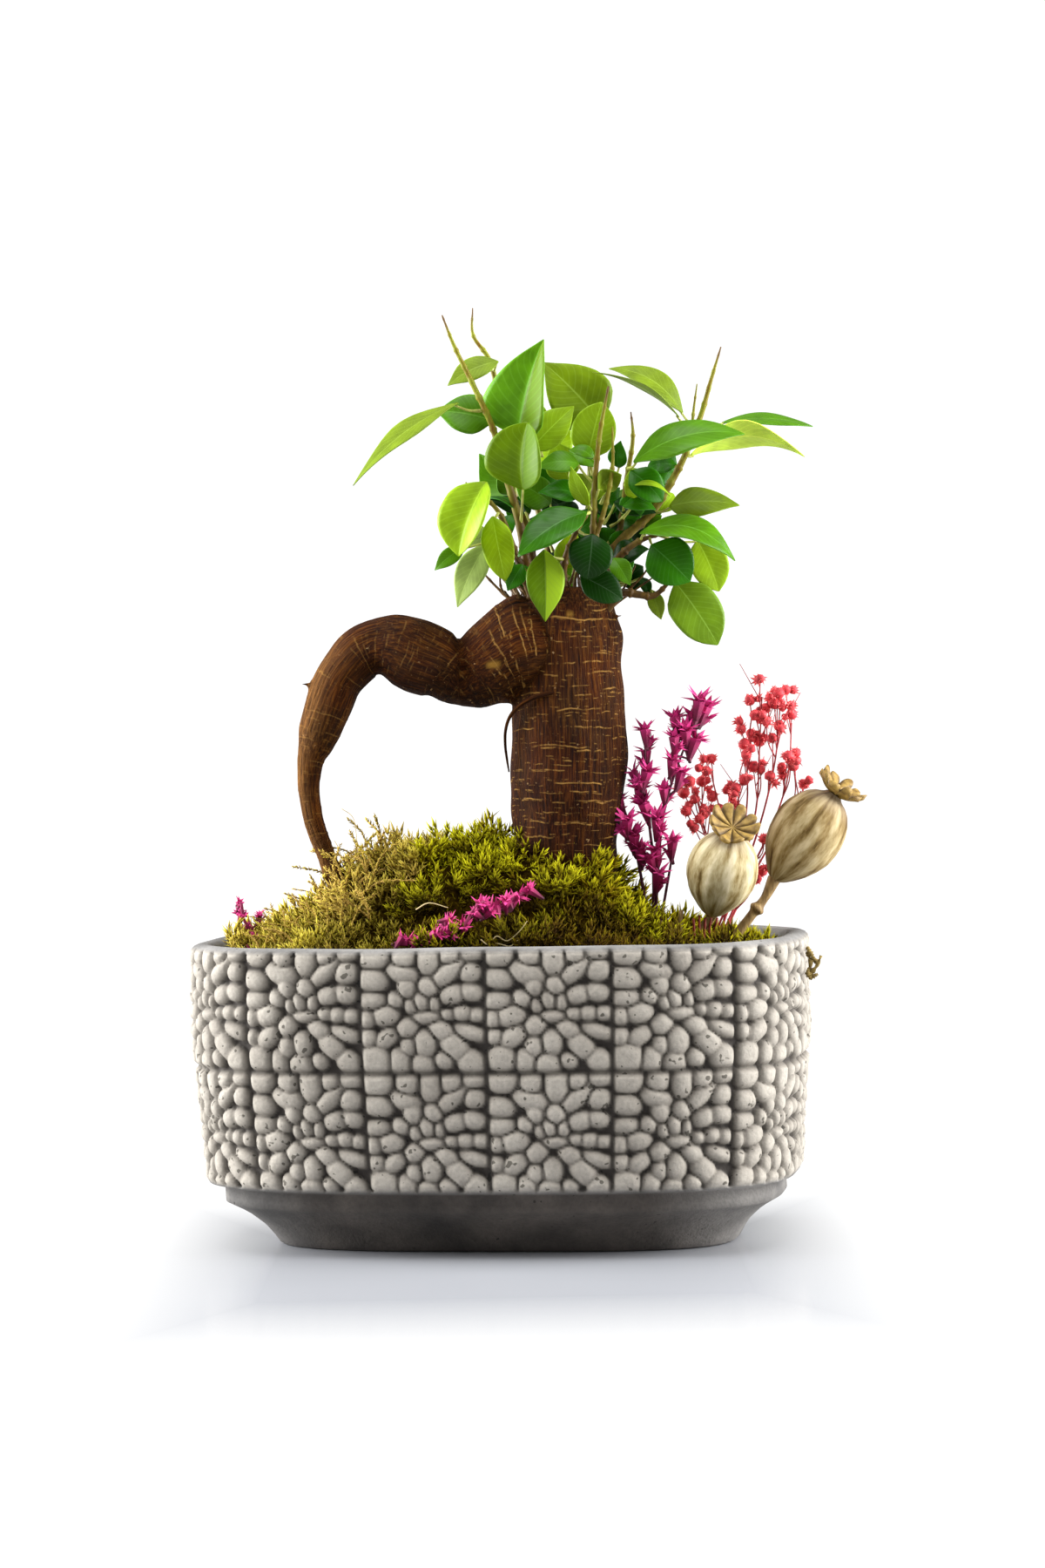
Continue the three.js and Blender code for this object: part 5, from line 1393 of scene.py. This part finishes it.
sprigs = {
    "magentaDepth": -5,
    "magentaStems": [[(752, 1030), (750, 990), (746, 950), (740, 905), (741, 860)],
                     [(752, 1030), (757, 975), (763, 930), (776, 885), (795, 835)],
                     [(752, 1030), (735, 1000), (726, 960), (716, 925)],
                     [(752, 1030), (768, 1005), (775, 965)]],
    "magentaBlooms": [(741, 838), (742, 862), (743, 885), (727, 886), (735, 905), (739, 922), (710, 919), (720, 940),
                      (735, 975), (746, 985), (753, 975), (756, 1002), (772, 965), (755, 940), (775, 824),
                      (774, 846), (772, 872), (787, 838), (799, 848), (803, 804), (811, 812), (794, 820),
                      (782, 887), (762, 905), (728, 958)],
    "coralDepth": 9,
    "coralStems": [[(826, 1072), (850, 1000), (868, 930), (872, 860), (875, 800)],
                   [(826, 1072), (858, 990), (880, 920), (892, 860), (896, 806)],
                   [(826, 1072), (862, 1000), (890, 940), (905, 890), (909, 830)],
                   [(826, 1072), (848, 990), (858, 920), (858, 870), (862, 830)],
                   [(826, 1072), (822, 1000), (806, 940), (800, 905)],
                   [(826, 1072), (832, 1000), (828, 940), (816, 885)],
                   [(826, 1072), (862, 1010), (895, 950), (920, 908)],
                   [(826, 1072), (843, 1000), (845, 940), (850, 900)]],
    "coralHeads": [(873, 779), (861, 804), (884, 801), (894, 796), (902, 792), (908, 810), (909, 820), (879, 813),
                   (889, 808), (867, 821), (880, 828), (895, 833), (851, 837), (862, 842), (872, 851), (887, 847),
                   (855, 854), (857, 866), (914, 864), (905, 868), (898, 881), (911, 879), (884, 891), (873, 883),
                   (855, 895), (923, 900), (835, 907), (818, 914), (843, 924), (826, 929), (809, 934), (797, 950),
                   (806, 897), (811, 885), (817, 871), (792, 897), (798, 917), (785, 910), (788, 931), (877, 963),
                   (875, 1000), (869, 1009), (865, 880), (845, 905), (803, 940), (908, 872)],
    "fallen": [(-27, -44.5, 97), (-24, -45, 99), (-20, -45, 101), (-15.5, -44, 101), (-11, -43, 103),
               (-8.5, -42, 107), (-5, -41, 110), (-3.5, -40, 107), (2, -38, 109), (5, -36.5, 111),
               (9.5, -34, 113.5), (-30, -45.5, 98.5), (-17, -45, 104), (-1, -39, 108)],
    "pink": [(-82.5, -6, 106), (-83, -6, 109.5), (-82, -6, 103.5), (-79.5, -5.5, 100.5), (-78.5, -5, 97),
             (-75.5, -5, 105), (-84.5, -7, 94.5), (-80.5, -8, 94)],
}


def bloomPiece(name, places, headings, sizes, seed, petals, calyx=True):
    # trumpet-shaped florets with thin pointed petals; "bloom" runs from the dark calyx to the petals' tips
    dice = np.random.default_rng(seed)
    points, faces, bloom = [], [], []
    for place, heading, size in zip(places, headings, sizes):
        heading = Vector(heading).normalized()
        side = heading.orthogonal().normalized()
        deep = heading.cross(side)

        def spoke(angle):
            return side * math.cos(angle) + deep * math.sin(angle)

        if calyx:
            start = len(points)
            for level, radius, value in ((-1.0, 0.1, 0.0), (-0.4, 0.22, 0.35), (0.0, 0.29, 0.7)):
                points += [place + (heading * level + spoke(k * math.pi / 3) * radius) * size for k in range(6)]
                bloom += [value] * 6
            faces += ringFaces(3, 6, start)
            faces += [tuple(range(start + 5, start - 1, -1)), tuple(range(start + 12, start + 18))]
        for k in range(petals):
            around = spoke(k * 2.4 + dice.uniform(-0.3, 0.3))
            tilt = dice.uniform(0.6, 1.75)
            out = (around * math.sin(tilt) + heading * math.cos(tilt)).normalized()
            edge = heading.cross(around).normalized()
            back = out.cross(edge)
            long = size * dice.uniform(0.55, 0.85)
            middle = place + out * long * 0.35
            faces += [tuple(len(points) + i for i in face) for face in petalFaces]
            points += [place - heading * 0.12 * size, middle + edge * 0.15 * size, middle - edge * 0.15 * size,
                       middle + back * 0.08 * size, place + out * long + heading * long * 0.1]
            bloom += [0.5, 0.75, 0.75, 0.75, 1.0]
    piece = meshPiece(name, points, faces)
    setAttribute(piece, "bloom", bloom)
    return piece


def dyedMaterial(name, dark, middle, bright):
    material, tree, shader, coords = newMaterial(name, Roughness=0.7)
    colour = ramp(tree, attributeOf(tree, "bloom"), (0.0, rgb(*dark)), (0.5, rgb(*middle)), (1.0, rgb(*bright)))
    shade = ramp(tree, noiseOf(tree, coords, 420, 3), (0.3, (0.75, 0.75, 0.75)), (0.7, (1.2, 1.2, 1.2)))
    paint(tree, shader, multiplied(tree, colour, shade))
    return material


def finishStems(name, strands, material, slotName, value):
    piece = tubes(name, strands, 6)
    setAttribute(piece, "bloom", value)
    finishPiece(piece, slotName, material)


def stemFrom(foot, marks, depth, sway, phase, thick, thinning):
    # a stem from its foot in the moss through its marks, with its line
    spots = [fromPhoto(c, r, depth + sway * math.sin(phase + k)) for k, (c, r) in enumerate(marks)]
    line = smoothLine([fromPlant(foot), *spots[1:]], 24)
    return line, [(p, (thick - thinning * k) * mm) for k, p in enumerate(line)]


def leavingPoint(line, spot, under, reach):
    # where a floret's own stalk leaves the stems below it
    below = [p for p in line if p.z < spot.z - under] or line
    return min(below, key=lambda p: (p - spot).length + abs((spot.z - p.z) - reach))


def makeMagenta(dice, material):
    depth, stems, line = sprigs["magentaDepth"], [], []
    for marks in sprigs["magentaStems"]:
        path, stem = stemFrom((49, -2, 88), marks, depth, 3, 0, 0.62, 0.012)
        line += path
        stems.append(stem)
    blooms, headings, sizes = [], [], []
    for column, row in sprigs["magentaBlooms"]:
        spot = fromPhoto(column, row, depth + dice.uniform(-3, 3))
        leave = leavingPoint(line, spot, 0.004, 0.008)
        heading = (spot - leave).normalized() + Vector((dice.uniform(-0.3, 0.3), dice.uniform(-0.4, 0.2), 0.5))
        heading.normalize()
        size = dice.uniform(6.1, 7.7) * mm
        beside = Vector((dice.uniform(-0.5, 0.5), dice.uniform(-0.5, 0.5), 0))
        blooms += [spot, spot - (heading * 0.5 - beside * 0.5) * size]
        headings += [heading, heading + beside * 1.4]
        sizes += [size, size * 0.66]
        end = spot - heading * size * 0.9
        stems.append([(leave, 0.4 * mm), ((leave + end) / 2, 0.36 * mm), (end, 0.5 * mm)])
    piece = bloomPiece("magentaBlooms", blooms, headings, sizes, 8, 11)
    finishPiece(piece, "dried_magenta", material, "sprig_magenta", smooth=False)
    finishStems("magentaStems", stems, material, "dried_magenta", 0.05)


def makeCoralHearts(spots, material):
    # the lumpy round middles of the coral heads: the main ones, then the smaller ones beside them
    hearts = []
    for number, spot in enumerate(spots):
        size = (1.55 + 0.45 * (number * 0.618 % 1)) * (1 if number < len(spots) / 2 else 0.75) * mm
        bpy.ops.mesh.primitive_ico_sphere_add(subdivisions=2, radius=size, location=spot)
        hearts.append(bpy.context.object)
        bpy.ops.object.transform_apply(location=True, rotation=True, scale=True)
    piece = joined("coralHearts", hearts)
    where = coordinates(piece)
    bulge = ripple(where / mm, 1.3, 12, 12)
    setCoordinates(piece, where + normalsOf(piece) * (0.25 * mm * bulge)[:, None])
    # the lumps are painted lighter and the hollows between them darker: a painted highlight and shade on the hearts
    setAttribute(piece, "bloom", np.clip(0.45 + 0.35 * bulge, 0, 1))
    finishPiece(piece, "dried_coral", material)


def makeCoral(dice, material):
    depth, stems, line = sprigs["coralDepth"], [], []
    for number, marks in enumerate(sprigs["coralStems"]):
        foot = (64.5 + number % 4 * 1.2, 1 + number % 3, 86)
        path, stem = stemFrom(foot, marks, depth, 2.5, number * 2, 0.4, 0.008)
        line += path
        stems.append(stem)
    places, headings, sizes = [], [], []
    for number, (column, row) in enumerate(sprigs["coralHeads"]):
        spot = fromPhoto(column, row, depth + dice.uniform(-5, 5))
        leave = leavingPoint(line, spot, 0.006, 0.014)
        middle = leave.lerp(spot, 0.5) + Vector((dice.uniform(-1, 1), dice.uniform(-1, 1), -1)) * mm
        stems.append([(p, (0.24 - 0.008 * k) * mm) for k, p in enumerate(smoothLine([leave, middle, spot], 8))])
        if number % 2 == 0:
            bend = Vector((dice.uniform(-7, 7), dice.uniform(-3, 3), dice.uniform(4, 10))) * mm
            stems.append([(middle, 0.18 * mm), (leave.lerp(spot, 0.6) + bend, 0.1 * mm)])
        beside = spot + Vector((dice.normal(), dice.normal(), dice.normal(0.4, 1))).normalized() * 2.7 * mm
        for place in (spot, spot, spot, beside):
            places.append(place)
            headings.append(Vector(dice.normal(size=3)))
            sizes.append(dice.uniform(3.0, 3.5) * mm)
    piece = bloomPiece("coralHeads", places, headings, sizes, 9, 11, calyx=False)
    finishPiece(piece, "dried_coral", material, "sprig_coral", smooth=False)
    makeCoralHearts(places[::4] + places[3::4], material)
    finishStems("coralStems", stems, material, "dried_coral", 0.2)


def makeLying(dice, material, name, foot, thick, size):
    spots = [fromPlant(p) for p in sprigs[name]]
    path = [fromPlant(foot), *(spots[:-3] if name == "fallen" else reversed(spots[:5]))]
    stems = [[(p, thick * mm) for p in smoothLine(path, 30)]]
    places, headings, sizes = [], [], []
    for spot in spots:
        near = min(stems[0], key=lambda pair: (pair[0] - spot).length)[0]
        stems.append([(near, 0.35 * mm), (spot, 0.35 * mm)])
        for _ in range(2):
            places.append(spot + Vector(dice.normal(size=3)) * 0.8 * mm)
            headings.append(Vector((dice.normal(0.3, 0.7), dice.normal(-0.5, 0.5), dice.normal(0.7, 0.4))))
            sizes.append(size * dice.uniform(0.8, 1.15) * mm)
    piece = bloomPiece(name + "Blooms", places, headings, sizes, 14, 9)
    finishPiece(piece, "dried_magenta", material, "sprig_" + name, smooth=False)
    finishStems(name + "Stems", stems, material, "dried_magenta", 0.3)


def makeSprigs():
    magenta = dyedMaterial("dyedMagenta", (62, 8, 34), (150, 16, 82), (212, 50, 132))
    coral = dyedMaterial("dyedCoral", (112, 36, 38), (206, 52, 62), (246, 118, 116))
    dice = np.random.default_rng(6)
    makeMagenta(dice, magenta)
    makeCoral(dice, coral)
    makeLying(dice, magenta, "fallen", (-27.5, -42, 88), 0.6, 4.4)
    makeLying(dice, magenta, "pink", (-77, -3, 86), 0.5, 3.0)


# Stray bits: the dry crumb on the pot's side, pale rootlets and hairs

strayBits = {
    "curls": [[(99.2, -8, 91), (100.4, -9, 88), (100, -9, 84.5), (102.2, -10, 86.5), (103.8, -10, 90)],
              [(99.3, -8, 92.5), (100.6, -9.5, 90.5), (101.4, -9, 88.8)],
              [(99.8, -9, 85), (101, -10.5, 83.5), (102.6, -10, 84.2)],
              [(100.2, -8.6, 88.2), (101.6, -8, 88.6), (102.2, -7.4, 87)],
              [(100, -9, 86), (99.6, -10.5, 84.2), (100.8, -11, 82.6)]],
    "threads": [[(-3, -46, 97), (-1, -47.5, 99.5), (2, -48, 98), (4.5, -48, 99.5), (7, -48, 102), (8.5, -48, 104)],
                [(-6, -46, 98.5), (-4, -47.5, 97), (-0.5, -48, 97.2), (3, -48.5, 96.4), (5.5, -48, 98.2)],
                [(-26, -41, 108), (-22, -43, 110), (-16, -44, 108.5)]],
    "hairMarks": [[(392, 985), (388, 972), (384, 965)], [(412, 985), (410, 967), (405, 938), (392, 928)]],
}


def makeStrayBits():
    crumb = mottledMaterial("dryCrumb", 700, 3, (74, 56, 22), (140, 120, 62), Roughness=0.85)
    strands = [strandOf(line, [0.55, 0.8, 0.45], 14, lambda p: Vector(p) * mm) for line in strayBits["curls"]]
    strands = [[(p, r * (1 + 0.4 * math.sin(k * 2.3))) for k, (p, r) in enumerate(strand)] for strand in strands]
    finishPiece(tubes("crumbCurls", strands, 8), "moss_straw", crumb, "moss_crumb")
    pale = newMaterial("paleThreads", Roughness=0.6, Base_Color=(*rgb(186, 166, 118), 1))[0]
    strands = [strandOf(line, [0.22, 0.2, 0.12], 24) for line in strayBits["threads"]]
    strands += [[(p, 0.13 * mm) for p in smoothLine([fromPhoto(c, r, -8) for c, r in marks], 16)]
                for marks in strayBits["hairMarks"]]
    finishPiece(tubes("paleThreads", strands, 6), "moss_straw", pale)


makeCamera()
makeFloor()
makeLight()
print("stage ready")
makePot(concreteMaterial())
print("pot ready")
bark = barkMaterial()
makeTrunk(bark)
makeHairRoot(bark)
print("trunk ready")
twigSkin = twigMaterial()
makeShoots(twigSkin)
makeTangle(twigSkin)
makeLeaves()
print("shoots and leaves ready")
makeMoss()
print("moss ready")
makePoppies()
makeSprigs()
makeStrayBits()
print("flowers ready")
